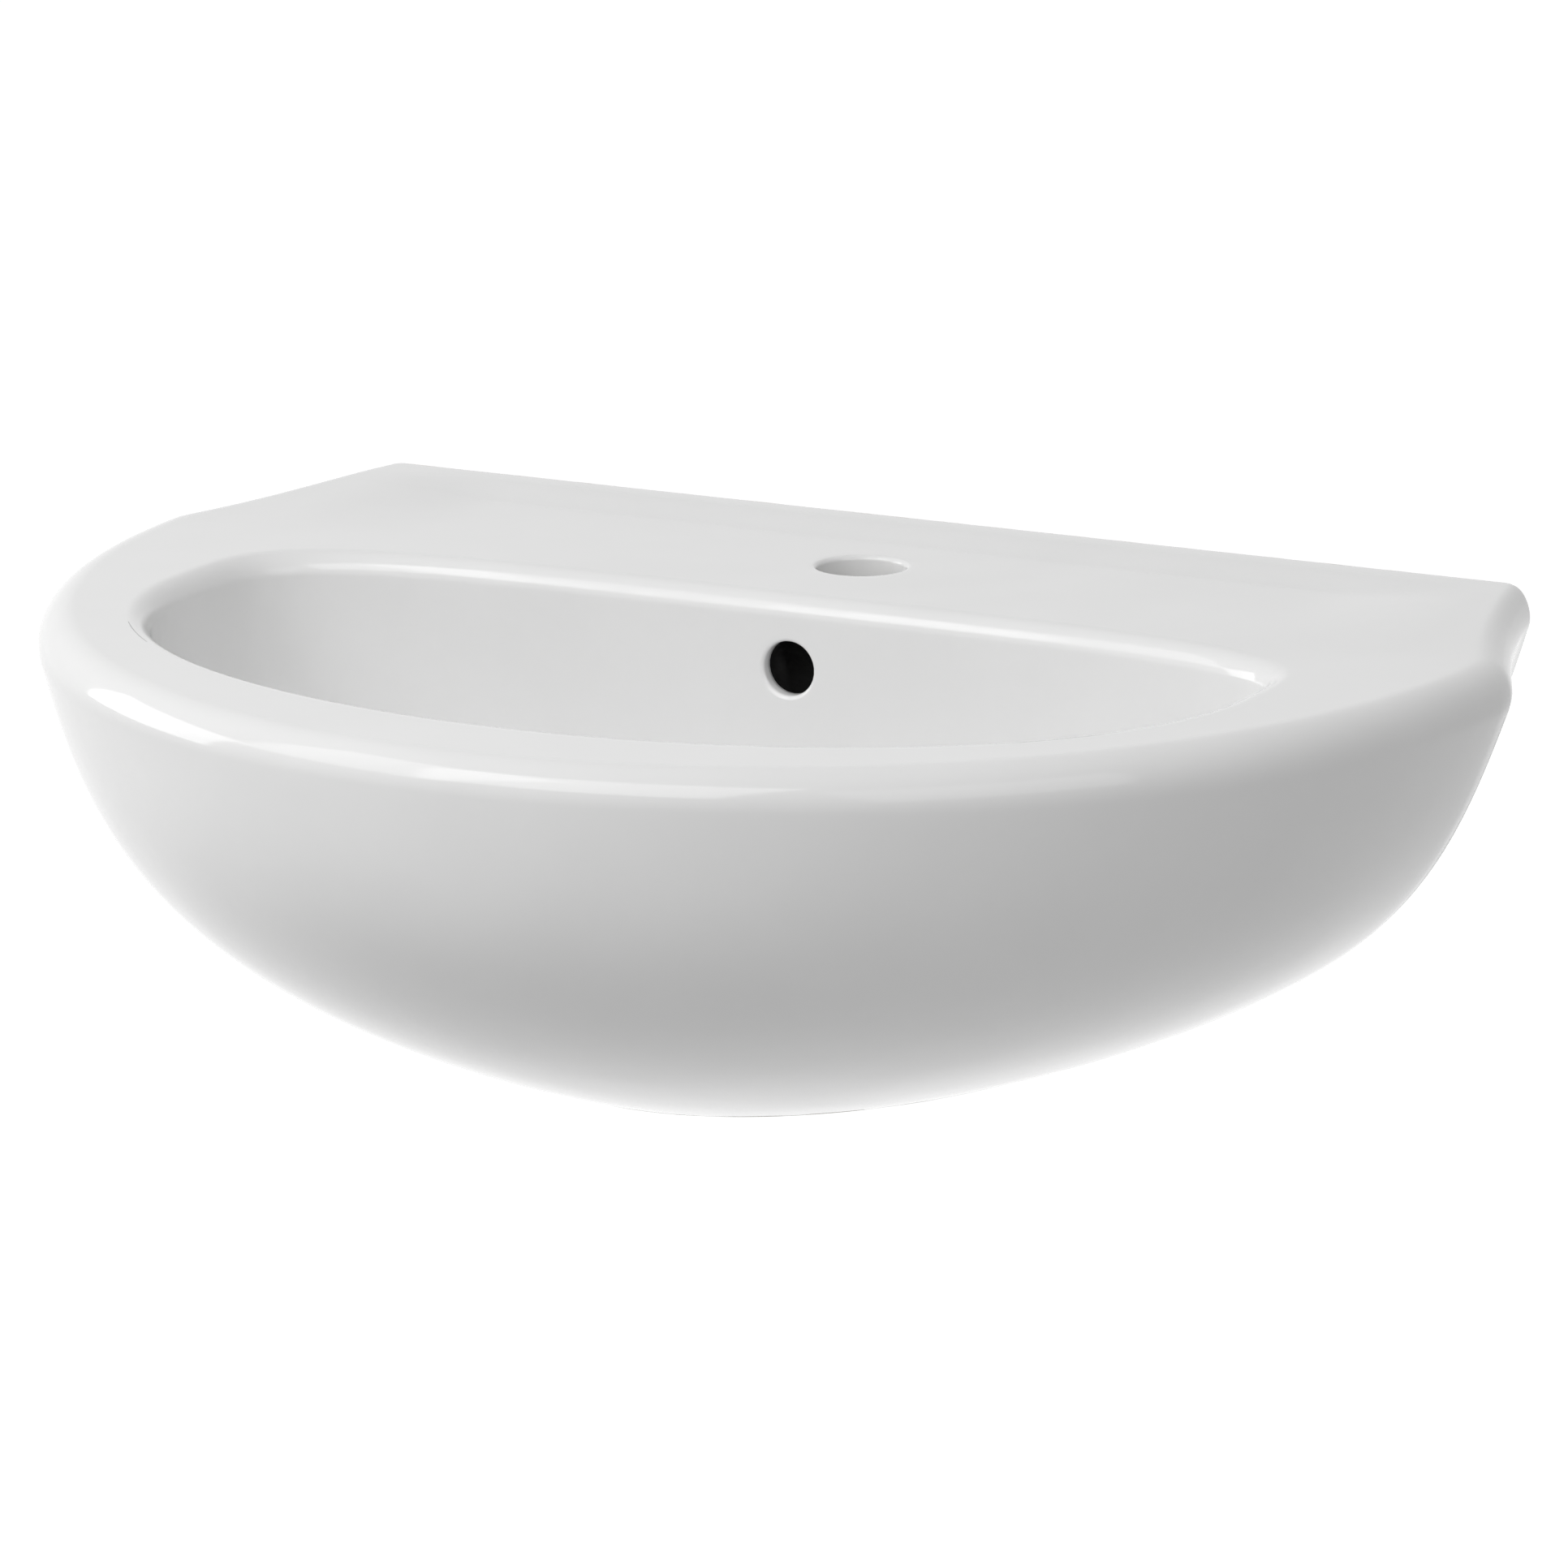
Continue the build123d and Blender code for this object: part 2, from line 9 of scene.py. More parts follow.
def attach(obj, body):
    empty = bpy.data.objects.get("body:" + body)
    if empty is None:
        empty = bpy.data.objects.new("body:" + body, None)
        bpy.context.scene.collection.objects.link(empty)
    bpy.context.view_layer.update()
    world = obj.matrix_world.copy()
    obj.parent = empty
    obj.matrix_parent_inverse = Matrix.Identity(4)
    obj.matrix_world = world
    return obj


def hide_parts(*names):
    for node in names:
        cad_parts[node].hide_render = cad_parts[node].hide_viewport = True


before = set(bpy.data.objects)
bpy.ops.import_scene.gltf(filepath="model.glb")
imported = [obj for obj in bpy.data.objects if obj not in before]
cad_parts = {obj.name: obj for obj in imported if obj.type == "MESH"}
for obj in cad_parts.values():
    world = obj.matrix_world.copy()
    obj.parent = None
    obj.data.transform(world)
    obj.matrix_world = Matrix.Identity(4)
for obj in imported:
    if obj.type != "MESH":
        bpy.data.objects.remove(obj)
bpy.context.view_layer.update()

# Ceramic, in millimetres from the wall face between the two fixing holes
RIM = 65.0
BODY_DROP = 175.0
HALF_WIDTH, WALL_HALF_WIDTH, DEPTH, WIDEST_AT = 300.0, 257.0, 428.0, 115.0
SIDE_TURN, SIDE_HOLD, SIDE_FULLNESS = 0.9, 0.58, 0.36
WIDTH_TAPER, WIDTH_CURL, WIDTH_CURL_POWER = 0.215, 0.373, 3.6
DEPTH_CURL, DEPTH_CURL_POWER = 0.394, 3.15
SHELL, BACK_WALL, DECK_THICKNESS = 10.0, 18.0, 14.0
RIM_ROUND, CORNER_RIM_ROUND, MOUTH_ROUND = 14.0, 9.0, 9.0
CORNER_ROUND, FOOT_ROUND, EDGE_ROUND = 4.0, 3.0, 2.0
BOWL_HALF_WIDTH, BOWL_BACK, BOWL_FRONT, BOWL_WIDEST_AT = 222.0, 135.0, 369.0, 211.0
BOWL_DEPTH, BOWL_CORNER_POWER, BOWL_FLOOR_POWER = 120.0, 4.2, 3.6
LIP_HEIGHT, LIP_FLAT, LIP_FOOT = 4.0, 10.0, 34.0
TAP_AT, TAP_RADIUS, TAP_ROUND = 72.0, 17.5, 2.0
OVERFLOW_DROP, OVERFLOW_RADIUS, OVERFLOW_ROUND, OVERFLOW_WALL = 28.5, 10.75, 1.4, 6.0
OUTLET_AT, OUTLET_RADIUS, RECESS_RADIUS, RECESS_DEPTH = 201.0, 23.0, 34.0, 4.0
BOSS_RADIUS, BOSS_FOOT = 37.0, -93.0
CHANNEL_FRONT, CHANNEL_BACK, CHANNEL_WIDTH = 129.0, 112.0, 36.0
FIXING_X, FIXING_RADIUS, LUG_RADIUS, LUG_DEPTH = 140.0, 7.2, 20.0, 6.0

# Wall fixings and waste, in millimetres
BOLT_RADIUS, BOLT_HEAD, BOLT_TIP, BOLT_PITCH, SCREW_PITCH = 5.0, -44.5, 65.0, 1.5, 4.5
PLUG_RADIUS, PLUG_BORE, PLUG_LENGTH, PLUG_RIB = 7.0, 5.05, 60.0, 5.0
FLANGE_RADIUS, FLANGE_TOP, FLANGE_UNDER, DISH_RADIUS, DISH_FLOOR = 32.0, -53.0, -57.0, 26.0, -55.0
TAIL_RADIUS, TAIL_BORE, TAIL_END, TAIL_PITCH, TAIL_GROOVE = 20.955, 18.0, -120.0, 2.309, 1.15
SLOT_TOP, SLOT_FOOT = -67.5, -79.5
BRIDGE_TOP, BRIDGE_FOOT, BRIDGE_HALF_WIDTH, HUB_RADIUS, HUB_BORE = -92.0, -99.0, 3.0, 7.5, 4.05

# Columns of the ceramic's grid on one half, by stretches from the rear middle to the front
MIDDLE, REAR, CORNER, FRONT = 24, 44, 30, 60
HALF = MIDDLE + REAR + CORNER + FRONT


def to_mesh(name, points, faces, materials, face_material=None):
    """A smooth mesh object from points in millimetres."""
    mesh = bpy.data.meshes.new(name)
    mesh.from_pydata((np.asarray(points) * 0.001).tolist(), [], faces)
    mesh.update()
    work = bmesh.new()
    work.from_mesh(mesh)
    bmesh.ops.recalc_face_normals(work, faces=work.faces)
    work.to_mesh(mesh)
    work.free()
    mesh.shade_smooth()
    for material in materials:
        mesh.materials.append(material)
    if face_material is not None:
        mesh.polygons.foreach_set("material_index", face_material)
    piece = bpy.data.objects.new(name, mesh)
    bpy.context.scene.collection.objects.link(piece)
    return piece


def stretches(lengths, counts):
    """Distances along a curve, evenly spaced inside each stretch."""
    marks = [np.linspace(a, b, n, endpoint=False) for a, b, n in zip(lengths, lengths[1:], counts)]
    return np.concatenate(marks + [[lengths[-1]]])


def smooth(s):
    """S curve from 0 to 1."""
    s = np.clip(s, 0, 1)
    return s * s * (3 - 2 * s)


def both_halves(half, height=None):
    """Closed ring from its right half, with its own heights or one height."""
    right = half if height is None else np.column_stack([half[:, :2], np.broadcast_to(height, HALF + 1)])
    return np.concatenate([right, right[-2:0:-1] * (-1, 1, 1)])


def body_curve(fraction):
    """Fine outline of the body in plan at a fraction of its drop, from past the wall to the front.

    The front is half an ellipse and the side a cubic Bezier curve that runs on straight past
    the wall. Both draw in with the drop.
    """
    wide = 1 - WIDTH_TAPER * fraction - WIDTH_CURL * fraction**WIDTH_CURL_POWER
    deep = 1 - DEPTH_CURL * fraction**DEPTH_CURL_POWER
    a, b, front, c = HALF_WIDTH * wide, WALL_HALF_WIDTH * wide, DEPTH * deep, WIDEST_AT * deep
    side_x = b + SIDE_FULLNESS * (a - b)
    ends = np.array([(b, 0), (side_x, -SIDE_HOLD * c), (a, -SIDE_TURN * c), (a, -c)])
    s = np.linspace(0, 1, 400)[:, None]
    side = (1 - s)**3 * ends[0] + 3 * s * (1 - s)**2 * ends[1] + 3 * s**2 * (1 - s) * ends[2] + s**3 * ends[3]
    past = ends[0] + (ends[0] - ends[1]) * np.linspace(1.2, 0, 60, endpoint=False)[:, None]
    turn = np.linspace(0, pi / 2, 900)[1:]
    nose = np.column_stack([a * np.cos(turn), -c - (front - c) * np.sin(turn)])
    return np.concatenate([past, side, nose])


def outward(curve):
    """Unit directions out of the body, square to its outline."""
    step = np.gradient(curve[:, :2], axis=0)
    step /= np.hypot(*step.T)[:, None]
    return np.column_stack([-step[:, 1], step[:, 0]])


def cut_at_wall(curve, wall_y):
    """Half ring from a fine outline with heights: cut by the wall line and rounded there.

    The corner is a quadratic Bezier curve from the wall line to the side. The ring's columns
    are spaced by distance, closer together round the corner.
    """
    start = int(np.argmax(curve[:, 1] < wall_y))
    share = (wall_y - curve[start - 1, 1]) / (curve[start, 1] - curve[start - 1, 1])
    meet = curve[start - 1] + share * (curve[start] - curve[start - 1])
    down = curve[start] - curve[start - 1]
    down /= np.hypot(down[0], down[1])
    reach = CORNER_ROUND * tan((pi / 2 - np.arcsin(down[0])) / 2)
    first, last = meet - (reach, 0, 0), meet + reach * down
    q = np.linspace(0, 1, 40)[:, None]
    corner = (1 - q)**2 * first + 2 * q * (1 - q) * meet + q**2 * last
    rest = curve[start:]
    rest = rest[np.hypot(*(rest - meet)[:, :2].T) > reach]
    rest = np.concatenate([rest[:-1], [[0, *rest[-1, 1:]]]])
    line = first * (0, 1, 1) + first * (1, 0, 0) * np.linspace(0, 1, 300, endpoint=False)[:, None]
    whole = np.concatenate([line, corner, rest])
    length = np.concatenate([[0], np.cumsum(np.hypot(*np.diff(whole[:, :2], axis=0).T))])
    at_corner = first[0] + reach * 0.8
    marks = stretches([0, 60, at_corner - 22, at_corner + 24, length[-1]], (MIDDLE, REAR, CORNER, FRONT))
    return np.column_stack([np.interp(marks, length, whole[:, k]) for k in range(3)])


def body_half(drop, inset=0.0, wall_y=0.0):
    """Half ring round the body at a drop below the rim, set in by a thickness."""
    curve = body_curve(drop / BODY_DROP)
    curve = curve - inset * outward(curve)
    return cut_at_wall(np.column_stack([curve, np.full(len(curve), RIM - drop)]), wall_y)


def rim_half(share):
    """Half ring on the rim's round, from 0 on the deck to 1 on the side.

    The round is a ball rolled between the deck plane and the leaning side: its middle is set
    in by r (1 + sin lean) / cos lean and it turns through 90 degrees plus the lean. The ball
    grows from the rear corner to the side. Along the wall there is only a small edge.
    """
    top, under = body_curve(0), body_curve(18 / BODY_DROP)
    out = outward(top)
    lean = np.arctan(np.clip(((top - under) * out).sum(axis=1) / 18, 0, 1))
    ball = CORNER_RIM_ROUND + (RIM_ROUND - CORNER_RIM_ROUND) * smooth(-top[:, 1] / WIDEST_AT)
    turn = pi / 2 - share * (pi / 2 + lean)
    inset = ball * (1 + np.sin(lean)) / np.cos(lean) - ball * np.cos(turn)
    down = ball * (1 - np.sin(turn))
    curve = np.column_stack([top - inset[:, None] * out, RIM - down])
    at_wall = down[60]
    wall_y = -EDGE_ROUND + np.sqrt(EDGE_ROUND**2 - max(EDGE_ROUND - at_wall, 0) ** 2)
    return cut_at_wall(curve, wall_y)


def bowl_radius(angle, a, back, front):
    """Distance from the bowl's middle to its edge: superellipse at the rear, ellipse in front."""
    power = np.where(angle < pi / 2, BOWL_CORNER_POWER, 2.0)
    depth = np.where(angle < pi / 2, back, front)
    return (np.abs(np.sin(angle) / a)**power + np.abs(np.cos(angle) / depth)**power) ** (-1 / power)


def bowl_columns():
    """Angles of the bowl's columns, spaced by their distance along the mouth."""
    angle = np.linspace(0, pi, 6000)
    r = bowl_radius(angle, BOWL_HALF_WIDTH + MOUTH_ROUND, BOWL_WIDEST_AT - BOWL_BACK + MOUTH_ROUND,
                    BOWL_FRONT - BOWL_WIDEST_AT + MOUTH_ROUND)
    edge = np.column_stack([r * np.sin(angle), r * np.cos(angle)])
    length = np.concatenate([[0], np.cumsum(np.hypot(*np.diff(edge, axis=0).T))])
    marks = stretches([0, 60, 205, 255, length[-1]], (MIDDLE, REAR, CORNER, FRONT))
    return np.interp(marks, length, angle)


COLUMNS = bowl_columns()


def bowl_half(size, grow, swell=0.0):
    """Half ring of the bowl shrunk towards the outlet, optionally swelling back at its rear."""
    r = bowl_radius(
        COLUMNS, BOWL_HALF_WIDTH * size + grow,
        (BOWL_WIDEST_AT - BOWL_BACK) * size + grow, (BOWL_FRONT - BOWL_WIDEST_AT) * size + grow)
    centre = OUTLET_AT + (BOWL_WIDEST_AT - OUTLET_AT) * size
    return np.column_stack([r * np.sin(COLUMNS), r * np.cos(COLUMNS) - centre + swell])


def circle_half(radius):
    """Half circle about the outlet, on the bowl's columns."""
    floor = bowl_half(0.6, 0) + (0, OUTLET_AT)
    angle = np.arctan2(floor[:, 0], floor[:, 1])
    return np.column_stack([radius * np.sin(angle), radius * np.cos(angle) - OUTLET_AT])


def bowl_floor(half):
    """Height of the bowl at points in plan, found by halving on the size of its outline."""
    low, high = np.zeros(len(half)), np.ones(len(half))
    for _ in range(40):
        size = (low + high) / 2
        centre = OUTLET_AT + (BOWL_WIDEST_AT - OUTLET_AT) * size
        x, y = np.abs(half[:, 0]), half[:, 1] + centre
        angle = np.arctan2(x, y)
        edge = bowl_radius(angle, BOWL_HALF_WIDTH * size, (BOWL_WIDEST_AT - BOWL_BACK) * size,
                           (BOWL_FRONT - BOWL_WIDEST_AT) * size)
        outside = np.hypot(x, y) > edge
        low, high = np.where(outside, size, low), np.where(outside, high, size)
    power = BOWL_FLOOR_POWER
    angle = np.arccos(np.clip(size, 0, 1) ** (power / 2))
    return RIM - BOWL_DEPTH * np.sin(angle) ** (2 / power)


def lip_rise(half):
    """Height of the lip over the deck: flat at the wall, then an S curve down to its foot.

    Towards both rear corners the deck itself climbs to the lip's height.
    """
    x, y = np.abs(half[:, 0]), half[:, 1]
    lip = smooth((LIP_FOOT + y) / (LIP_FOOT - LIP_FLAT))
    corner = smooth((x - 180) / 65) * smooth((130 + y) / 120)
    return LIP_HEIGHT * (1 - (1 - lip) * (1 - corner))


def ceramic_rows():
    """All rings of the ceramic, from the outlet up the bowl, over the rim and back inside.

    Returns the rows and the row numbers where each part of the surface starts.
    """
    rows, starts = [], {}

    def part(name):
        starts[name] = len(rows)

    def row(half, height=None):
        rows.append(both_halves(half, height))

    # Outlet and its recess
    part("outlet")
    floor_z, seat = RIM - BOWL_DEPTH, RIM - BOWL_DEPTH - RECESS_DEPTH
    for radius, z in ((OUTLET_RADIUS + 1.5, BOSS_FOOT), (OUTLET_RADIUS + 0.4, BOSS_FOOT + 0.4),
                      (OUTLET_RADIUS, BOSS_FOOT + 1.5), (OUTLET_RADIUS, -85), (OUTLET_RADIUS, -75),
                      (OUTLET_RADIUS, seat - 1.5), (OUTLET_RADIUS + 0.4, seat - 0.4),
                      (OUTLET_RADIUS + 1.5, seat), (28, seat), (RECESS_RADIUS - 1.5, seat),
                      (RECESS_RADIUS - 0.4, seat + 0.4), (RECESS_RADIUS, seat + 1.5),
                      (RECESS_RADIUS, floor_z - 1.6), (RECESS_RADIUS + 0.5, floor_z - 0.5)):
        row(circle_half(radius), z)

    # Floor of the bowl, from the round recess out to the bowl's own outline
    part("floor")
    inner, outer = circle_half(RECESS_RADIUS + 1.6), bowl_half(0.66, 0)
    for s in np.linspace(0, 1, 9):
        half = inner + (outer - inner) * s
        row(half, bowl_floor(half))

    # Wall of the bowl
    part("wall")
    p = 2 / BOWL_FLOOR_POWER
    start = np.degrees(np.arccos(0.66 ** (1 / p)))
    mouth_drop = np.arange(MOUTH_ROUND, 62.1, 3.0)[::-1]
    first = np.degrees(np.arcsin((mouth_drop[0] / BOWL_DEPTH) ** (1 / p)))
    for angle in np.linspace(start, first, 26)[1:-1]:
        row(bowl_half(cos(radians(angle))**p, 0), RIM - BOWL_DEPTH * sin(radians(angle))**p)
    part("upper_wall")
    for d in mouth_drop:
        angle = np.arcsin((d / BOWL_DEPTH) ** (1 / p))
        row(bowl_half(np.cos(angle)**p, 0), RIM - d)

    # Rounded mouth
    part("mouth")
    for angle in np.linspace(90, 0, 25)[1:-1]:
        s, c = sin(radians(angle)), cos(radians(angle))
        row(bowl_half(1, MOUTH_ROUND * (1 - s)), RIM - MOUTH_ROUND * (1 - c))

    # Deck, with the lip rising along the wall
    part("deck")
    mouth, inner_rim = bowl_half(1, MOUTH_ROUND), rim_half(0)[:, :2]
    rear = np.concatenate([[-126, -121, -115, -109, -102], np.linspace(-96, -48, 17), [-45, -42, -40],
                           np.arange(-38, -3, 2.0), [-2.0]])
    share = (rear - rear[0]) / (rear[-1] - rear[0])
    for s in share[:-1]:
        half = mouth + (inner_rim - mouth) * s
        row(half, RIM + lip_rise(half))

    # Rounded rim. The lip's height runs out down the round.
    part("rim")
    for s in np.linspace(0, 1, 19):
        half = rim_half(s)
        half[:, 2] += lip_rise(half) * (1 - smooth(s))
        row(half)

    # Apron, down to the foot
    part("apron")
    for d in np.arange(21.0, 170.1, 3.5):
        row(body_half(d))
    part("foot")
    base, above = body_half(BODY_DROP), body_half(0.985 * BODY_DROP)
    up_wall = above - base
    up_wall /= np.linalg.norm(up_wall, axis=1)[:, None]
    across = np.column_stack([-outward(base), np.zeros(HALF + 1)])
    bend = pi - np.arccos(np.clip((up_wall * across).sum(axis=1), -1, 1))
    reach = (FOOT_ROUND * np.tan(bend / 2))[:, None]
    for s in np.linspace(0, 1, 6):
        row((1 - s)**2 * (base + reach * up_wall) + 2 * s * (1 - s) * base + s**2 * (base + reach * across))

    # Inside of the body, up to the underside of the deck
    part("inside")
    for d in np.concatenate([[BODY_DROP, 174.2, 172.5], np.arange(21.0, 168.1, 3.5)[::-1]]):
        more = 1.0 if d == BODY_DROP else 0.3 if d > 174 else 0.0
        row(body_half(d, SHELL + more, -BACK_WALL - more))
    part("ceiling")
    ceiling = RIM - DECK_THICKNESS
    swell, extra = duct_swelling()
    under_bowl = bowl_half(1, SHELL) + np.column_stack([np.zeros(HALF + 1), swell])
    for angle in (60, 30, 0):
        more = 6 * (1 - sin(radians(angle)))
        row(body_half(DECK_THICKNESS, SHELL + more, -BACK_WALL - more), ceiling - 6 * (1 - cos(radians(angle))))
    edge = rows[-1][:HALF + 1, :2]
    reach = np.concatenate([[-27, -31, -35, -39, -43.5], np.linspace(-48, -96, 17), [-99.5]])
    for y in reach:
        s = (y + 24) / (-102 + 24)
        row(edge + (under_bowl - edge) * s, ceiling)

    # Underside of the bowl, with the overflow's duct as a swelling at its rear
    part("under")
    depth = BOWL_DEPTH + SHELL
    duct = (swell / swell.max())[:, None]
    for s in np.concatenate([[0.0, 0.012, 0.05], np.linspace(0.1, 0.93, 16)]):
        f = (DECK_THICKNESS + s * (depth - DECK_THICKNESS)) / depth
        size = (1 - f**BOWL_FLOOR_POWER) ** (1 / BOWL_FLOOR_POWER)
        bowl = np.column_stack([bowl_half(size, SHELL), np.full(HALF + 1, ceiling - s * (depth - DECK_THICKNESS))])
        upright = np.column_stack([under_bowl, ceiling - s / 0.93 * (depth - DECK_THICKNESS + extra)])
        row(bowl + (upright - bowl) * duct)
    last, height = rows[-1][:HALF + 1, :2], rows[-1][:HALF + 1, 2]
    end = circle_half(BOSS_RADIUS + 3)
    for s in np.linspace(0, 1, 7)[1:]:
        ease = np.sin(s * pi / 2)
        row(last + (end - last) * s, height + (RIM - depth - extra - height) * ease)
    part("boss")
    top = rows[-1][:HALF + 1, 2]
    row(circle_half(BOSS_RADIUS + 0.9), top - 0.9)
    row(circle_half(BOSS_RADIUS), top - 3)
    for s in (0.5, 1):
        row(circle_half(BOSS_RADIUS), (top - 3) + (BOSS_FOOT + 1.5 - top + 3) * s)
    row(circle_half(BOSS_RADIUS - 0.4), BOSS_FOOT + 0.4)
    row(circle_half(BOSS_RADIUS - 1.5), BOSS_FOOT)
    row(circle_half(30), BOSS_FOOT)
    return np.array(rows), starts


def duct_swelling():
    """How far the overflow's duct stands out at the rear middle: back, and down."""
    x = np.abs(bowl_half(1, SHELL)[:, 0])
    rear = COLUMNS < pi / 2
    s = np.clip((46 - x) / 20, 0, 1) * rear
    s = s * s * (3 - 2 * s)
    return 23 * s, 22 * s


def ceramic_basin():
    """The ceramic as one closed surface.

    Its grid runs round the basin one way and, the other way, from the outlet up the bowl, over
    the rim, down the apron and back inside. At each hole a block of the grid is left out and
    its square edge is drawn to circles that go through the wall.
    """
    rows, starts = ceramic_rows()
    count, around = rows.shape[:2]
    points = list(rows.reshape(-1, 3))
    index = np.arange(count * around).reshape(count, around)
    left_out = np.zeros((count, around), bool)
    faces, kinds = [], []

    def edge_of(top, bottom, left, right):
        """Grid numbers round a block, in one turn."""
        columns = np.arange(left, right + 1) % around
        across = index[top, columns]
        down = index[np.arange(top + 1, bottom), columns[-1]]
        back = index[bottom, columns[::-1]]
        up = index[np.arange(bottom - 1, top, -1), columns[0]]
        left_out[top:bottom, columns[:-1]] = True
        return np.concatenate([across, down, back, up])

    def bridge(rings, kind):
        """Quads between numbered rings of equal length."""
        for one, two in zip(rings, rings[1:]):
            quads = np.stack([one, np.roll(one, -1), np.roll(two, -1), two], axis=1)
            faces.extend(quads.tolist())
            kinds.extend([kind] * len(quads))

    def add(ring):
        """Numbers of a new ring of points."""
        first = len(points)
        points.extend(ring)
        return np.arange(first, first + len(ring))

    def round_hole(edge, centre, axes, steps):
        """Rings from a block's square edge to circles: each step is a radius and a depth."""
        centre, (u, v, w) = np.asarray(centre, float), np.asarray(axes, float)
        square = np.array([points[i] for i in edge])
        angle = np.arctan2((square - centre) @ v, (square - centre) @ u)
        circle = lambda radius, depth: (
            centre + radius * (np.cos(angle)[:, None] * u + np.sin(angle)[:, None] * v) + depth * w)
        return square, circle, [circle(radius, depth) for radius, depth in steps]

    # Tap hole
    top = starts["deck"] + 5
    upper = edge_of(top, top + 16, -10, 10)
    low = starts["ceiling"] + 3 + 5
    lower = edge_of(low, low + 16, -10, 10)
    axes = ((1, 0, 0), (0, 1, 0), (0, 0, -1))
    arc = [(TAP_RADIUS + TAP_ROUND * (1 - sin(radians(t))), TAP_ROUND * (1 - cos(radians(t)))) for t in range(0, 91, 15)]
    square, circle, rings = round_hole(upper, (0, -TAP_AT, RIM), axes, arc + [
        (TAP_RADIUS, 6), (TAP_RADIUS, 10), (TAP_RADIUS, 13), (TAP_RADIUS + 0.3, 13.7), (TAP_RADIUS + 1, DECK_THICKNESS)])
    ease = [square + (rings[0] - square) * s for s in (0.25, 0.5, 0.75)]
    bottom = np.array([points[i] for i in lower])
    order = match(rings[-1], bottom)
    lower = lower[order]
    bridge([upper] + [add(r) for r in ease + rings] + [add(rings[-1] + (bottom[order] - rings[-1]) * 0.5), lower], 0)

    # Overflow hole and the duct behind it
    first = starts["upper_wall"] + int(round((60.0 - 42.0) / 3.0))
    edge = edge_of(first, first + 10, -6, 6)
    wall = -BOWL_BACK
    axes = ((1, 0, 0), (0, 0, 1), (0, 1, 0))
    centre = (0, wall, RIM - OVERFLOW_DROP)
    arc = [(OVERFLOW_RADIUS + OVERFLOW_ROUND * (1 - sin(radians(t))), OVERFLOW_ROUND * (1 - cos(radians(t)))) for t in range(0, 91, 18)]
    square, circle, rings = round_hole(edge, centre, axes, arc + [
        (OVERFLOW_RADIUS, OVERFLOW_WALL * 0.6), (OVERFLOW_RADIUS, OVERFLOW_WALL - 0.5), (OVERFLOW_RADIUS + 0.5, OVERFLOW_WALL)])
    for ring in rings[:1]:
        ring[:, 1] = wall_face(ring)
    ease = []
    for s in (0.3, 0.6, 0.85):
        ring = square + (rings[0] - square) * s
        ring[:, 1] = wall_face(ring)
        ease.append(ring)
    low_z, high_z = -79.0, RIM - 16.0
    box = rings[-1].copy()
    u, v = box[:, 0], box[:, 2] - centre[2]
    scale = 1 / np.maximum(np.abs(u) / (CHANNEL_WIDTH / 2), np.abs(v) / 12.5)
    box[:, 0], tall = u * scale, v * scale
    box[:, 2] = centre[2] + np.where(tall < 0, tall * (centre[2] - low_z) / 12.5, tall * (high_z - centre[2]) / 12.5)
    back = box.copy()
    back[:, 1] = -CHANNEL_BACK
    box_rings = [add(box), add(back), add((back + back.mean(axis=0)) / 2)]
    numbers = [add(r) for r in ease + rings]
    bridge([edge] + numbers, 0)
    # The duct's walls and end take material 2, a near-black painted shade for the dark inside of the channel.
    bridge([numbers[-1]] + box_rings, 2)
    pole = len(points)
    points.append(back.mean(axis=0))
    last = box_rings[-1]
    faces.extend([[a, b, pole] for a, b in zip(last, np.roll(last, -1))])
    kinds.extend([2] * len(last))

    # Fixing holes, with a lug round each on the inside
    first = starts["apron"] + int(round((40.5 - 21.0 + 1.5) / 3.5))
    inner = starts["inside"] + 3 + (42 - (first - starts["apron"]) - 14)
    for side in (1, -1):
        outer_edge, inner_edge = (
            edge_of(top, top + 14, near - 6, near + 6)
            for top in (first, inner)
            for near in [side * (MIDDLE + int(np.argmin(np.abs(rows[top + 7, MIDDLE:MIDDLE + REAR, 0] - FIXING_X))))])
        axes = ((1, 0, 0), (0, 0, 1), (0, -1, 0))
        depth = BACK_WALL + LUG_DEPTH
        square, circle, rings = round_hole(outer_edge, (side * FIXING_X, 0, 0), axes, [
            (FIXING_RADIUS + 1, 0), (FIXING_RADIUS + 0.3, 0.3), (FIXING_RADIUS, 1), (FIXING_RADIUS, depth / 2),
            (FIXING_RADIUS, depth - 1), (FIXING_RADIUS + 0.3, depth - 0.3), (FIXING_RADIUS + 1, depth),
            (13, depth), (LUG_RADIUS - 1.5, depth), (LUG_RADIUS - 0.4, depth - 0.4), (LUG_RADIUS, depth - 1.5),
            (LUG_RADIUS, BACK_WALL + 2), (LUG_RADIUS + 0.6, BACK_WALL + 0.6), (LUG_RADIUS + 2, BACK_WALL)])
        inner_points = np.array([points[i] for i in inner_edge])
        order = match(rings[-1], inner_points)
        ease = [square + (rings[0] - square) * s for s in (0.4, 0.75)]
        bridge([outer_edge] + [add(r) for r in ease + rings] + [inner_edge[order]], 0)

    block = index.copy()
    near, far = np.roll(block, -1, axis=1), np.roll(block, -1, axis=0)
    across = np.roll(far, -1, axis=1)
    quads = np.stack([block, near, across, far], axis=-1)[~left_out]
    row_of = np.repeat(np.arange(count)[:, None], around, axis=1)[~left_out]
    inside = (row_of >= starts["inside"]).astype(int)
    all_faces = quads.tolist() + faces
    all_kinds = inside.tolist() + kinds
    return to_mesh("basin_ceramic", points, all_faces, [glaze, bare_clay, painted_duct_shade], all_kinds)


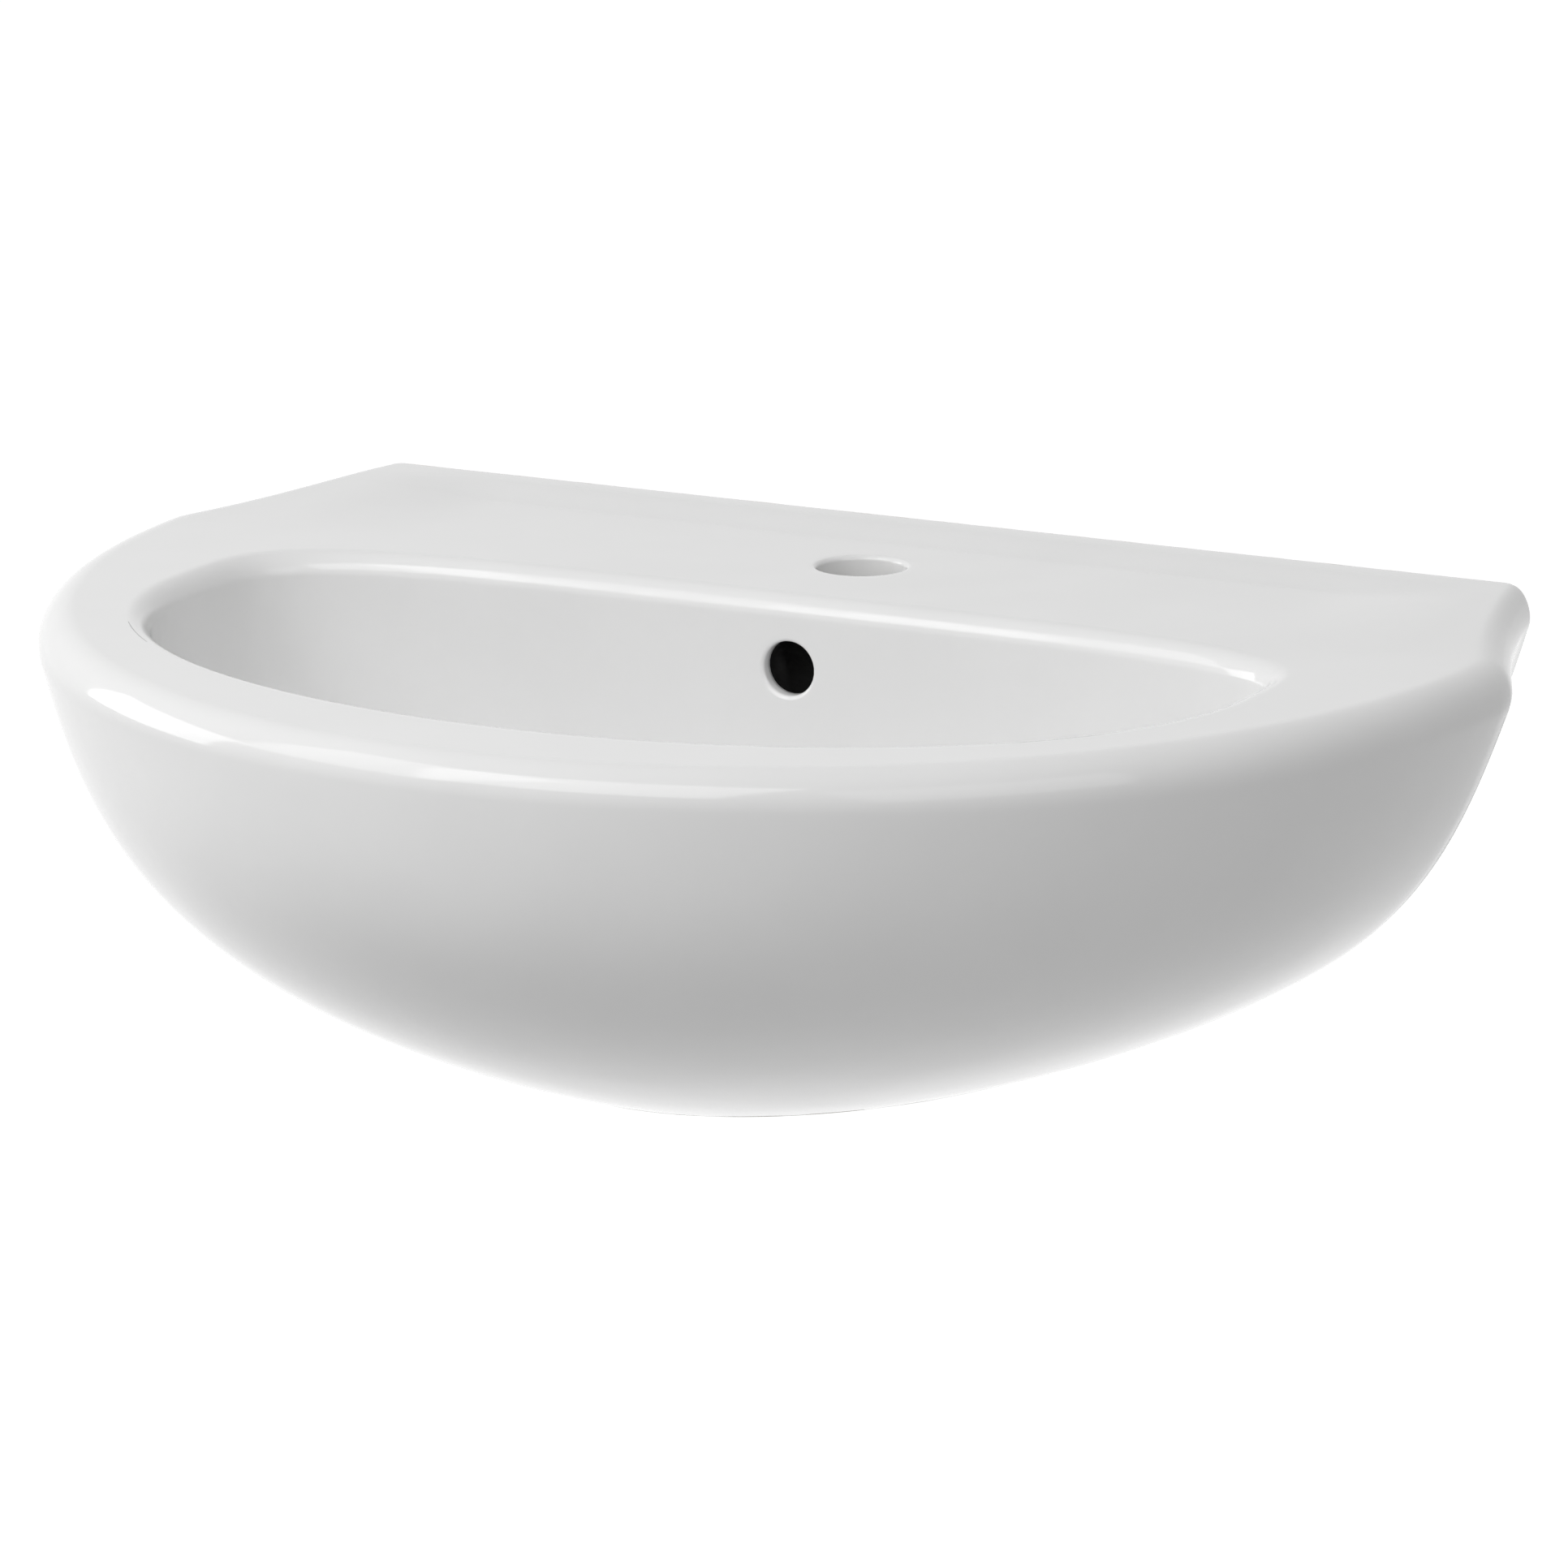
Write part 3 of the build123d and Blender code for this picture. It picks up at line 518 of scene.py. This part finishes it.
def wall_face(ring):
    """Distance from the wall of points on the bowl's rear wall, by its superellipse."""
    drop = RIM - ring[:, 2]
    size = (1 - (drop / BOWL_DEPTH) ** BOWL_FLOOR_POWER) ** (1 / BOWL_FLOOR_POWER)
    across = np.abs(ring[:, 0]) / (BOWL_HALF_WIDTH * size)
    centre = OUTLET_AT + (BOWL_WIDEST_AT - OUTLET_AT) * size
    return (BOWL_WIDEST_AT - BOWL_BACK) * size * (1 - across**BOWL_CORNER_POWER) ** (1 / BOWL_CORNER_POWER) - centre


def match(ring, other):
    """Order that turns another ring so that it starts and runs as this one does."""
    n = len(ring)
    best = None
    for way in (1, -1):
        for shift in range(n):
            order = (shift + way * np.arange(n)) % n
            cost = ((other[order] - ring) ** 2).sum()
            if best is None or cost < best[0]:
                best = (cost, order)
    return best[1]


def effect(name, inputs, outputs):
    """Empty shader node group with named sockets: the group, its inputs and its outputs."""
    group = bpy.data.node_groups.new(name, "ShaderNodeTree")
    for label, kind, value in inputs:
        group.interface.new_socket(name=label, in_out="INPUT", socket_type=kind).default_value = value
    for label, kind in outputs:
        group.interface.new_socket(name=label, in_out="OUTPUT", socket_type=kind)
    return group, group.nodes.new("NodeGroupInput").outputs, group.nodes.new("NodeGroupOutput").inputs


def node(tree, kind, settings=None, **inputs):
    """A new node with its settings and inputs: an input is a value or another node's socket."""
    made = tree.nodes.new(kind)
    for key, value in (settings or {}).items():
        setattr(made, key, value)
    for key, value in inputs.items():
        socket = made.inputs[int(key[1:]) if key[1:].isdigit() else key.replace("_", " ")]
        if isinstance(value, bpy.types.NodeSocket):
            tree.links.new(value, socket)
        else:
            socket.default_value = value
    return made


def fitted(tree, value, low, high, to_low, to_high):
    """A value brought from one range into another with soft ends."""
    return node(tree, "ShaderNodeMapRange", {"interpolation_type": "SMOOTHSTEP"}, Value=value, From_Min=low,
                From_Max=high, To_Min=to_low, To_Max=to_high).outputs["Result"]


def mottled_finish():
    """Noise in object space that wanders between two tones and between two roughnesses."""
    group, given, out = effect("mottled_finish", [
        ("Scale", "NodeSocketFloat", 40.0), ("Light Tone", "NodeSocketColor", (0.8, 0.8, 0.8, 1)),
        ("Dark Tone", "NodeSocketColor", (0.7, 0.7, 0.7, 1)), ("Low Roughness", "NodeSocketFloat", 0.2),
        ("High Roughness", "NodeSocketFloat", 0.4)], [("Color", "NodeSocketColor"), ("Roughness", "NodeSocketFloat")])
    place = node(group, "ShaderNodeTexCoord").outputs["Object"]
    noise = node(group, "ShaderNodeTexNoise", Vector=place, Scale=given["Scale"], Detail=4.0, Roughness=0.6)
    share = fitted(group, noise.outputs["Fac"], 0.32, 0.68, 0.0, 1.0)
    mix = node(group, "ShaderNodeMix", {"data_type": "RGBA"}, _0=share, _6=given["Light Tone"], _7=given["Dark Tone"])
    rough = fitted(group, noise.outputs["Fac"], 0.32, 0.68, given["Low Roughness"], given["High Roughness"])
    group.links.new(mix.outputs[2], out["Color"])
    group.links.new(rough, out["Roughness"])
    return group


def fine_grain():
    """Height of a fine even grain."""
    group, given, out = effect("fine_grain", [("Scale", "NodeSocketFloat", 900.0)], [("Height", "NodeSocketFloat")])
    place = node(group, "ShaderNodeTexCoord").outputs["Object"]
    noise = node(group, "ShaderNodeTexNoise", Vector=place, Scale=given["Scale"], Detail=3.0)
    group.links.new(noise.outputs["Fac"], out["Height"])
    return group


def turning_marks():
    """Height of fine uneven grooves round the outlet's axis, as a lathe tool leaves them.

    The height is a one-dimensional noise of the distance from the axis plus the height.
    """
    group, given, out = effect("turning_marks", [("Marks per Metre", "NodeSocketFloat", 4000.0)],
                               [("Height", "NodeSocketFloat")])
    place = node(group, "ShaderNodeTexCoord").outputs["Object"]
    centred = node(group, "ShaderNodeMapping", Vector=place, Location=(0, OUTLET_AT / 1000, 0)).outputs[0]
    parts = node(group, "ShaderNodeSeparateXYZ", Vector=centred).outputs
    flat = node(group, "ShaderNodeCombineXYZ", X=parts["X"], Y=parts["Y"]).outputs[0]
    away = node(group, "ShaderNodeVectorMath", {"operation": "LENGTH"}, _0=flat).outputs["Value"]
    along = node(group, "ShaderNodeMath", {"operation": "ADD"}, _0=away, _1=parts["Z"]).outputs[0]
    number = node(group, "ShaderNodeMath", {"operation": "MULTIPLY"}, _0=along, _1=given["Marks per Metre"]).outputs[0]
    noise = node(group, "ShaderNodeTexNoise", {"noise_dimensions": "1D"}, W=number, Scale=1.0, Detail=2.0)
    group.links.new(noise.outputs["Fac"], out["Height"])
    return group


MOTTLED, GRAIN, TURNED = mottled_finish(), fine_grain(), turning_marks()


def placed(material, group, **inputs):
    """One of the effects, placed in a material with its own values."""
    made = material.node_tree.nodes.new("ShaderNodeGroup")
    made.node_tree = group
    for key, value in inputs.items():
        made.inputs[key.replace("_", " ")].default_value = value
    return made.outputs


def finish(name, light, dark, roughness, patches, metallic=0.0, grain=None, turned=None):
    """Material with mottled colour and roughness, and a relief of grain or of turning marks.

    Grain is a scale and a height in metres. Turned is the marks per metre and their height.
    """
    material = bpy.data.materials.new(name)
    material.use_nodes = True
    tree = material.node_tree
    shader = tree.nodes["Principled BSDF"]
    shader.inputs["Metallic"].default_value = metallic
    mottle = placed(material, MOTTLED, Scale=patches, Light_Tone=(*light, 1), Dark_Tone=(*dark, 1),
                    Low_Roughness=roughness[0], High_Roughness=roughness[1])
    tree.links.new(mottle["Color"], shader.inputs["Base Color"])
    tree.links.new(mottle["Roughness"], shader.inputs["Roughness"])
    relief = None
    if grain:
        height = placed(material, GRAIN, Scale=grain[0])["Height"]
        relief = node(tree, "ShaderNodeBump", Height=height, Distance=grain[1], Strength=1.0).outputs[0]
    if turned:
        height = placed(material, TURNED, Marks_per_Metre=turned[0])["Height"]
        bump = node(tree, "ShaderNodeBump", Height=height, Distance=turned[1], Strength=1.0)
        if relief:
            tree.links.new(relief, bump.inputs["Normal"])
        relief = bump.outputs[0]
    if relief:
        tree.links.new(relief, shader.inputs["Normal"])
    return material


def glazed_ceramic():
    """White glaze with a faint unevenness, and bare clay on the wall face and on the foot.

    The glaze ends a few millimetres short of the wall plane and of the foot, on a wandering line.
    """
    material = bpy.data.materials.new("white_glaze")
    material.use_nodes = True
    tree = material.node_tree
    shader = tree.nodes["Principled BSDF"]
    place = node(tree, "ShaderNodeTexCoord").outputs["Object"]
    parts = node(tree, "ShaderNodeSeparateXYZ", Vector=place).outputs
    wander = node(tree, "ShaderNodeTexNoise", Vector=place, Scale=45.0, Detail=3.0).outputs["Fac"]
    edge = fitted(tree, wander, 0.3, 0.7, -0.0008, 0.0008)
    behind = node(tree, "ShaderNodeMath", {"operation": "ADD"}, _0=parts["Y"], _1=edge).outputs[0]
    below = node(tree, "ShaderNodeMath", {"operation": "SUBTRACT"}, _0=edge, _1=parts["Z"]).outputs[0]
    at_wall = fitted(tree, behind, -0.0022, -0.0014, 0.0, 1.0)
    at_foot = fitted(tree, below, 0.1084, 0.1092, 0.0, 1.0)
    bare = node(tree, "ShaderNodeMath", {"operation": "MAXIMUM"}, _0=at_wall, _1=at_foot).outputs[0]
    glaze = placed(material, MOTTLED, Scale=14.0, Light_Tone=(*GLAZE_LIGHT, 1), Dark_Tone=(*GLAZE_DARK, 1),
                   Low_Roughness=0.07, High_Roughness=0.12)
    clay = placed(material, MOTTLED, Scale=120.0, Light_Tone=(0.80, 0.78, 0.73, 1), Dark_Tone=(0.74, 0.71, 0.65, 1),
                  Low_Roughness=0.6, High_Roughness=0.8)
    colour = node(tree, "ShaderNodeMix", {"data_type": "RGBA"}, _0=bare, _6=glaze["Color"], _7=clay["Color"])
    rough = node(tree, "ShaderNodeMix", {"data_type": "FLOAT"}, _0=bare, _2=glaze["Roughness"], _3=clay["Roughness"])
    tree.links.new(colour.outputs[2], shader.inputs["Base Color"])
    tree.links.new(rough.outputs[0], shader.inputs["Roughness"])
    swell = node(tree, "ShaderNodeTexNoise", Vector=place, Scale=16.0, Detail=1.0).outputs["Fac"]
    waves = node(tree, "ShaderNodeBump", Height=swell, Distance=0.0006, Strength=1.0).outputs[0]
    grain = placed(material, GRAIN, Scale=1400.0)["Height"]
    rise = node(tree, "ShaderNodeMath", {"operation": "MULTIPLY"}, _0=grain, _1=bare).outputs[0]
    relief = node(tree, "ShaderNodeBump", Height=rise, Distance=0.0004, Strength=1.0, Normal=waves).outputs[0]
    tree.links.new(relief, shader.inputs["Normal"])
    return material


GLAZE_LIGHT, GLAZE_DARK = (0.868, 0.868, 0.866), (0.852, 0.852, 0.85)
glaze = glazed_ceramic()
bare_clay = finish("bare_ceramic", (0.80, 0.79, 0.75), (0.72, 0.70, 0.65), (0.55, 0.75), 60.0, grain=(900.0, 0.0003))
# Painted shade: a near-black colour on the overflow duct's inside stands in for the shade deep in the channel.
painted_duct_shade = finish("duct_shade", (0.03, 0.03, 0.03), (0.015, 0.015, 0.015), (0.5, 0.7), 60.0, grain=(700.0, 0.0003))
chrome = finish("polished_chrome", (0.80, 0.81, 0.82), (0.76, 0.77, 0.78), (0.05, 0.11), 45.0, 1.0, grain=(300.0, 2e-6))
turned_brass = finish("turned_brass", (0.75, 0.59, 0.31), (0.66, 0.50, 0.24), (0.24, 0.42), 90.0, 1.0,
                      turned=(3500.0, 0.00003))
zinc_plate = finish("zinc_plate", (0.64, 0.65, 0.67), (0.54, 0.55, 0.58), (0.28, 0.46), 260.0, 1.0,
                    grain=(1500.0, 0.00002))
spring_wire = finish("spring_wire", (0.66, 0.66, 0.67), (0.55, 0.55, 0.57), (0.2, 0.34), 700.0, 1.0,
                     grain=(4000.0, 0.00001))
black_rubber = finish("black_rubber", (0.048, 0.048, 0.05), (0.03, 0.03, 0.032), (0.62, 0.82), 150.0,
                      grain=(2500.0, 0.00006))
natural_nylon = finish("natural_nylon", (0.80, 0.80, 0.76), (0.75, 0.745, 0.70), (0.34, 0.5), 110.0,
                       grain=(1800.0, 0.00003))
grey_nylon = finish("grey_nylon", (0.38, 0.39, 0.40), (0.33, 0.34, 0.35), (0.42, 0.58), 110.0,
                    grain=(1800.0, 0.00004))

FINISH_OF = {
    chrome: ("waste_body", "plug_cap"),
    turned_brass: ("back_nut", "cartridge_sleeve", "cartridge_collar", "plug_stem", "lock_nut"),
    zinc_plate: ("hanger_bolts", "bolt_washers", "bolt_nuts"),
    spring_wire: ("plug_spring",),
    black_rubber: ("flange_seal", "lower_seal", "plug_seal"),
    natural_nylon: ("friction_washer", "plunger", "rotor", "bolt_sleeves"),
    grey_nylon: ("wall_plugs",),
}
for material, names in FINISH_OF.items():
    for name in names:
        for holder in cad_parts[name].material_slots:
            holder.material = material



def sheet_faces(index):
    """Quads of a grid of point numbers whose columns close on themselves."""
    near, far = np.roll(index, -1, axis=1)[:-1], index[1:]
    return np.stack([index[:-1], near, np.roll(far, -1, axis=1), far], axis=-1)


def triangle_wave(turns):
    """0 at whole turns and 1 half way between them."""
    return 1 - np.abs((turns % 1) * 2 - 1)


def hanger_bolt(x):
    """Grid of a hanger bolt along Y: a machine thread at the nut, a coarse screw in the wall.

    The radius is the bolt's outside, which draws in to a point, less a groove that is a
    triangle wave of distance over pitch plus the turn. The grooves fade at both ends.
    """
    y = np.concatenate([[BOLT_HEAD], np.arange(BOLT_HEAD + 1, -0.6, BOLT_PITCH / 8), [0, 2],
                        np.arange(3.0, BOLT_TIP, SCREW_PITCH / 14), [BOLT_TIP]])[:, None]
    turn = np.linspace(0, 2 * pi, 36, endpoint=False)[None, :]
    outside = np.interp(y, [BOLT_HEAD, BOLT_HEAD + 1, BOLT_TIP - 12, BOLT_TIP],
                        [BOLT_RADIUS - 1, BOLT_RADIUS, BOLT_RADIUS, 1.1])
    machine = 0.8 * triangle_wave(y / BOLT_PITCH + turn / (2 * pi)) * smooth((y - BOLT_HEAD) / 2) * smooth((-0.6 - y) / 2)
    screw = 1.2 * smooth(1.7 * triangle_wave(y / SCREW_PITCH + turn / (2 * pi))) * smooth((y - 3) / 5) * smooth((BOLT_TIP - y) / 7)
    r = outside - machine - screw
    y = np.broadcast_to(y, r.shape)
    grid = np.stack([x + r * np.cos(turn), y, r * np.sin(turn)], axis=-1)
    return grid, ((x, BOLT_HEAD, 0), (x, BOLT_TIP, 0))


def hanger_bolt_pair():
    """Both bolts, each closed with a pole at either end."""
    points, faces = [], []
    for side in (-1, 1):
        grid, poles = hanger_bolt(side * FIXING_X)
        first, (count, around) = sum(map(len, points)), grid.shape[:2]
        index = first + np.arange(count * around).reshape(count, around)
        points += [grid.reshape(-1, 3), np.array(poles, float)]
        faces += sheet_faces(index).reshape(-1, 4).tolist()
        for ring, pole in ((index[0], first + count * around), (index[-1], first + count * around + 1)):
            faces += np.stack([ring, np.roll(ring, -1), np.full(around, pole)], axis=1).tolist()
    return to_mesh("threaded_hanger_bolts", np.concatenate(points), faces, [zinc_plate])


def wall_plug_pair():
    """Both wall plugs: the outside steps back in ribs and has two lengthwise splits.

    The outside's radius is the plug's less a saw-tooth of distance over rib length, and less
    a narrow dip at two opposite angles. The rings go out along it and back through the bore.
    """
    points, faces = [], []
    turn = np.linspace(0, 2 * pi, 64, endpoint=False)[None, :]
    y = np.concatenate([[0, 0.3, 2.0], np.arange(2.5, PLUG_LENGTH - 2, PLUG_RIB / 10), [PLUG_LENGTH - 0.8, PLUG_LENGTH]])[:, None]
    inside = smooth((y - 2) / 1) * smooth((PLUG_LENGTH - 2 - y) / 2)
    rib = 0.8 * ((y / PLUG_RIB) % 1) * inside
    split = 0.7 * np.exp(-((((turn + pi / 2) % pi) - pi / 2) / 0.09) ** 2) * inside
    ends = 0.4 * ((y < 0.1) + (y > PLUG_LENGTH - 0.1))
    r = np.concatenate([PLUG_RADIUS - rib - split - ends, np.full((2, 64), PLUG_BORE)])
    along = np.concatenate([np.broadcast_to(y, (len(y), 64)), np.array([[PLUG_LENGTH], [0.0]]) + np.zeros((2, 64))])
    for side in (-1, 1):
        grid = np.stack([side * FIXING_X + r * np.cos(turn), along, r * np.sin(turn)], axis=-1)
        index = sum(map(len, points)) + np.arange(r.size).reshape(r.shape)
        points.append(grid.reshape(-1, 3))
        faces += sheet_faces(np.concatenate([index, index[:1]])).reshape(-1, 4).tolist()
    return to_mesh("ribbed_wall_plugs", np.concatenate(points), faces, [grey_nylon])


def waste_tail():
    """Grid of the waste: dished flange, threaded tail and bore, as closed rings round the outlet.

    The tail's radius is its outside less a triangle wave of height over pitch less the turn.
    A block of the grid is left out for each overflow slot, outside and inside, and the two
    edges are joined.
    """
    around = 120
    turn = np.linspace(0, 2 * pi, around, endpoint=False)[None, :]
    bend = np.radians(np.arange(90, -1, -15))
    top = [(DISH_RADIUS - 0.4, DISH_FLOOR), (DISH_RADIUS, DISH_FLOOR + 0.4), (DISH_RADIUS, FLANGE_TOP - 0.3),
           (DISH_RADIUS + 0.3, FLANGE_TOP)]
    edge = np.column_stack([FLANGE_RADIUS - 2.4 + 2.4 * np.cos(bend), FLANGE_TOP - 2.4 + 2.4 * np.sin(bend)])
    under = [(FLANGE_RADIUS, FLANGE_UNDER + 0.3), (FLANGE_RADIUS - 0.3, FLANGE_UNDER), (TAIL_RADIUS + 0.1, FLANGE_UNDER)]
    z = np.arange(FLANGE_UNDER - 0.5, TAIL_END + 0.5, -TAIL_PITCH / 7)
    fade = smooth((FLANGE_UNDER - 3 - z) / 3) * smooth((z - TAIL_END) / 3)
    thread = TAIL_RADIUS - TAIL_GROOVE * triangle_wave(z[:, None] / TAIL_PITCH - turn / (2 * pi)) * fade[:, None]
    foot = [(TAIL_RADIUS - 0.6, TAIL_END), (TAIL_BORE + 0.4, TAIL_END)]
    plain_rings = lambda pairs: (np.array(pairs)[:, :1] + np.zeros((1, around)), np.array(pairs)[:, 1:] + np.zeros((1, around)))
    z_rows = np.broadcast_to(z[:, None], thread.shape)
    blocks = [plain_rings(np.concatenate([top, edge, under])), (thread, z_rows), plain_rings(foot),
              (np.full(thread.shape, TAIL_BORE), z_rows[::-1]), plain_rings([(TAIL_BORE + 0.4, DISH_FLOOR)])]
    r, height = (np.concatenate([block[k] for block in blocks]) for k in (0, 1))
    points = np.stack([r * np.cos(turn), r * np.sin(turn) - OUTLET_AT, height], axis=-1).reshape(-1, 3)
    index = np.arange(r.size).reshape(r.shape)
    quads = sheet_faces(np.concatenate([index, index[:1]]))
    outer, inner = len(top) + len(edge) + len(under), len(top) + len(edge) + len(under) + len(z) + len(foot)
    first, last = int(np.argmax(z < SLOT_TOP)), int(np.argmax(z < SLOT_FOOT))
    kept = np.ones(quads.shape[:2], bool)
    joins = []
    for left in (around // 4 - 12, 3 * around // 4 - 12):
        columns = np.arange(left, left + 25)
        rings = []
        for rows in (outer + np.arange(first, last + 1), inner + len(z) - 1 - np.arange(first, last + 1)):
            kept[np.ix_(np.sort(rows)[:-1], columns[:-1])] = False
            rings.append(np.concatenate([index[rows[0], columns], index[rows[1:-1], columns[-1]],
                                         index[rows[-1], columns[::-1]], index[rows[-2:0:-1], columns[0]]]))
        one, two = rings
        joins += np.stack([one, np.roll(one, -1), np.roll(two, -1), two], axis=1).tolist()
    return points, quads[kept].tolist() + joins


def waste_bridge():
    """Grid of the bridge across the bore: a hub and two arms, from its plan in polar form.

    The plan's radius is the larger of the hub's and the arms'. Rings go up its side, in over
    the top, down the bore and out under the foot.
    """
    corner = np.arctan2(BRIDGE_HALF_WIDTH, TAIL_BORE + 1)
    root = np.arcsin(BRIDGE_HALF_WIDTH / HUB_RADIUS)
    marks = [m for a in (corner, root) for m in (a, pi - a, pi + a, 2 * pi - a)]
    turn = np.unique(np.concatenate([np.linspace(0, 2 * pi, 144, endpoint=False), marks]))
    with np.errstate(divide="ignore"):
        arm = np.minimum((TAIL_BORE + 1) / np.abs(np.cos(turn)), BRIDGE_HALF_WIDTH / np.abs(np.sin(turn)))
    plan = np.maximum(HUB_RADIUS, arm)
    rings = [(plan - 0.5, BRIDGE_FOOT), (plan, BRIDGE_FOOT + 0.5), (plan, BRIDGE_TOP - 0.5), (plan - 0.5, BRIDGE_TOP),
             (HUB_BORE + 0.4 + 0 * plan, BRIDGE_TOP), (HUB_BORE + 0 * plan, BRIDGE_TOP - 0.4),
             (HUB_BORE + 0 * plan, BRIDGE_FOOT + 0.4), (HUB_BORE + 0.4 + 0 * plan, BRIDGE_FOOT)]
    points = np.concatenate([np.column_stack([r * np.cos(turn), r * np.sin(turn) - OUTLET_AT, np.full(len(turn), z)])
                             for r, z in rings])
    index = np.arange(len(points)).reshape(len(rings), -1)
    return points, sheet_faces(np.concatenate([index, index[:1]])).reshape(-1, 4).tolist()


def threaded_waste():
    """The waste body: its tail and its bridge in one mesh."""
    points, faces = waste_tail()
    more, others = waste_bridge()
    others = (np.array(others) + len(points)).tolist()
    return to_mesh("threaded_waste", np.concatenate([points, more]), faces + others, [chrome])


for piece, name, finish_slot in (
        (hanger_bolt_pair(), "hanger_bolts", "zinc_steel"), (wall_plug_pair(), "wall_plugs", "grey_nylon"),
        (threaded_waste(), "waste_body", "chrome")):
    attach(piece, "root")
    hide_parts(name)

basin = ceramic_basin()
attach(basin, "root")
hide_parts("basin")


def aim_camera():
    """Camera at the photograph's angle, about four metres from the basin."""
    azimuth, elevation, distance, lens_px = radians(27.12), radians(13.71), 4.14286, 13383.0
    ahead = Vector((-sin(azimuth) * cos(elevation), cos(azimuth) * cos(elevation), -sin(elevation)))
    right = Vector((cos(azimuth), sin(azimuth), 0))
    up = right.cross(ahead)
    target = Vector((0, -0.21687, -0.0282))
    aside, above = (850.47 - 966) / lens_px, (966 - 1081.2) / lens_px
    place = target - distance * (ahead + aside * right + above * up)
    data = bpy.data.cameras.new("camera")
    data.lens = lens_px / 1932 * 36
    data.sensor_width = 36
    data.clip_end = 200
    camera = bpy.data.objects.new("camera", data)
    camera.matrix_world = Matrix((
        (right.x, up.x, -ahead.x, place.x), (right.y, up.y, -ahead.y, place.y),
        (right.z, up.z, -ahead.z, place.z), (0, 0, 0, 1)))
    bpy.context.scene.collection.objects.link(camera)
    bpy.context.scene.camera = camera


def seen_directly(tree):
    """1 for rays that reach the camera straight, by a mirror or through glass, else 0."""
    path = node(tree, "ShaderNodeLightPath").outputs
    both = node(tree, "ShaderNodeMath", {"operation": "MAXIMUM"}, _0=path["Is Camera Ray"], _1=path["Is Glossy Ray"])
    return node(tree, "ShaderNodeMath", {"operation": "MAXIMUM"}, _0=both.outputs[0],
                _1=path["Is Transmission Ray"]).outputs[0]


def softbox(name, direction, distance, width, height, level):
    """Square-on area lamp that gives a face turned to it a level of light, at any distance."""
    data = bpy.data.lights.new(name, "AREA")
    data.shape = "RECTANGLE"
    data.size, data.size_y = width, height
    data.energy = level * pi * pi * distance**2
    direction = Vector(direction).normalized()
    lamp = bpy.data.objects.new(name, data)
    lamp.location = Vector((0, -0.2, 0)) + direction * distance
    lamp.rotation_euler = direction.to_track_quat("Z", "Y").to_euler()
    bpy.context.scene.collection.objects.link(lamp)


def light_studio():
    """Even light all round and four large soft lamps."""
    world = bpy.data.worlds.new("studio")
    world.use_nodes = True
    tree = world.node_tree
    level = ROOM_LEVEL
    mix = node(tree, "ShaderNodeMix", {"data_type": "RGBA"}, _0=seen_directly(tree),
               _6=(level, level, level, 1), _7=(1, 1, 1, 1))
    tree.links.new(mix.outputs[2], tree.nodes["Background"].inputs["Color"])
    bpy.context.scene.world = world
    for name, direction, distance, width, height, level in SOFTBOXES:
        softbox(name, direction, distance, width, height, level)


def lay_floor():
    """Pale floor, as far below the rim as a basin hangs. It isn't seen from below."""
    size, height = 40.0, -0.785
    mesh = bpy.data.meshes.new("floor")
    mesh.from_pydata([(-size, -size, height), (size, -size, height), (size, size, height), (-size, size, height)],
                     [], [(0, 1, 2, 3)])
    material = bpy.data.materials.new("floor")
    material.use_nodes = True
    tree = material.node_tree
    shader = tree.nodes["Principled BSDF"]
    mottle = placed(material, MOTTLED, Scale=3.0, Light_Tone=(0.61, 0.61, 0.61, 1), Dark_Tone=(0.59, 0.59, 0.59, 1),
                    Low_Roughness=0.85, High_Roughness=0.95)
    tree.links.new(mottle["Color"], shader.inputs["Base Color"])
    tree.links.new(mottle["Roughness"], shader.inputs["Roughness"])
    shader.inputs["Emission Color"].default_value = (1, 1, 1, 1)
    glow = node(tree, "ShaderNodeMath", {"operation": "MULTIPLY"}, _0=seen_directly(tree), _1=0.8)
    tree.links.new(glow.outputs[0], shader.inputs["Emission Strength"])
    clear = node(tree, "ShaderNodeBsdfTransparent")
    under = node(tree, "ShaderNodeNewGeometry").outputs["Backfacing"]
    either = node(tree, "ShaderNodeMixShader", _0=under, _1=shader.outputs[0], _2=clear.outputs[0])
    tree.links.new(either.outputs[0], tree.nodes["Material Output"].inputs["Surface"])
    mesh.materials.append(material)
    floor = bpy.data.objects.new("floor", mesh)
    bpy.context.scene.collection.objects.link(floor)


ROOM_LEVEL = 0.3
SOFTBOXES = (
    ("front_softbox", (-0.1, -1.0, 1.0), 2.6, 2.2, 1.6, 0.37),
    ("front_left_softbox", (-0.75, -0.75, 0.9), 2.6, 1.8, 1.6, 0.21),
    ("right_softbox", (0.9, -0.5, 0.6), 2.6, 1.8, 1.6, 0.12),
    ("left_softbox", (-1.0, -0.1, 0.25), 2.6, 1.6, 1.2, 0.25),
)


aim_camera()
light_studio()
lay_floor()
bpy.context.scene.view_settings.view_transform = "Standard"
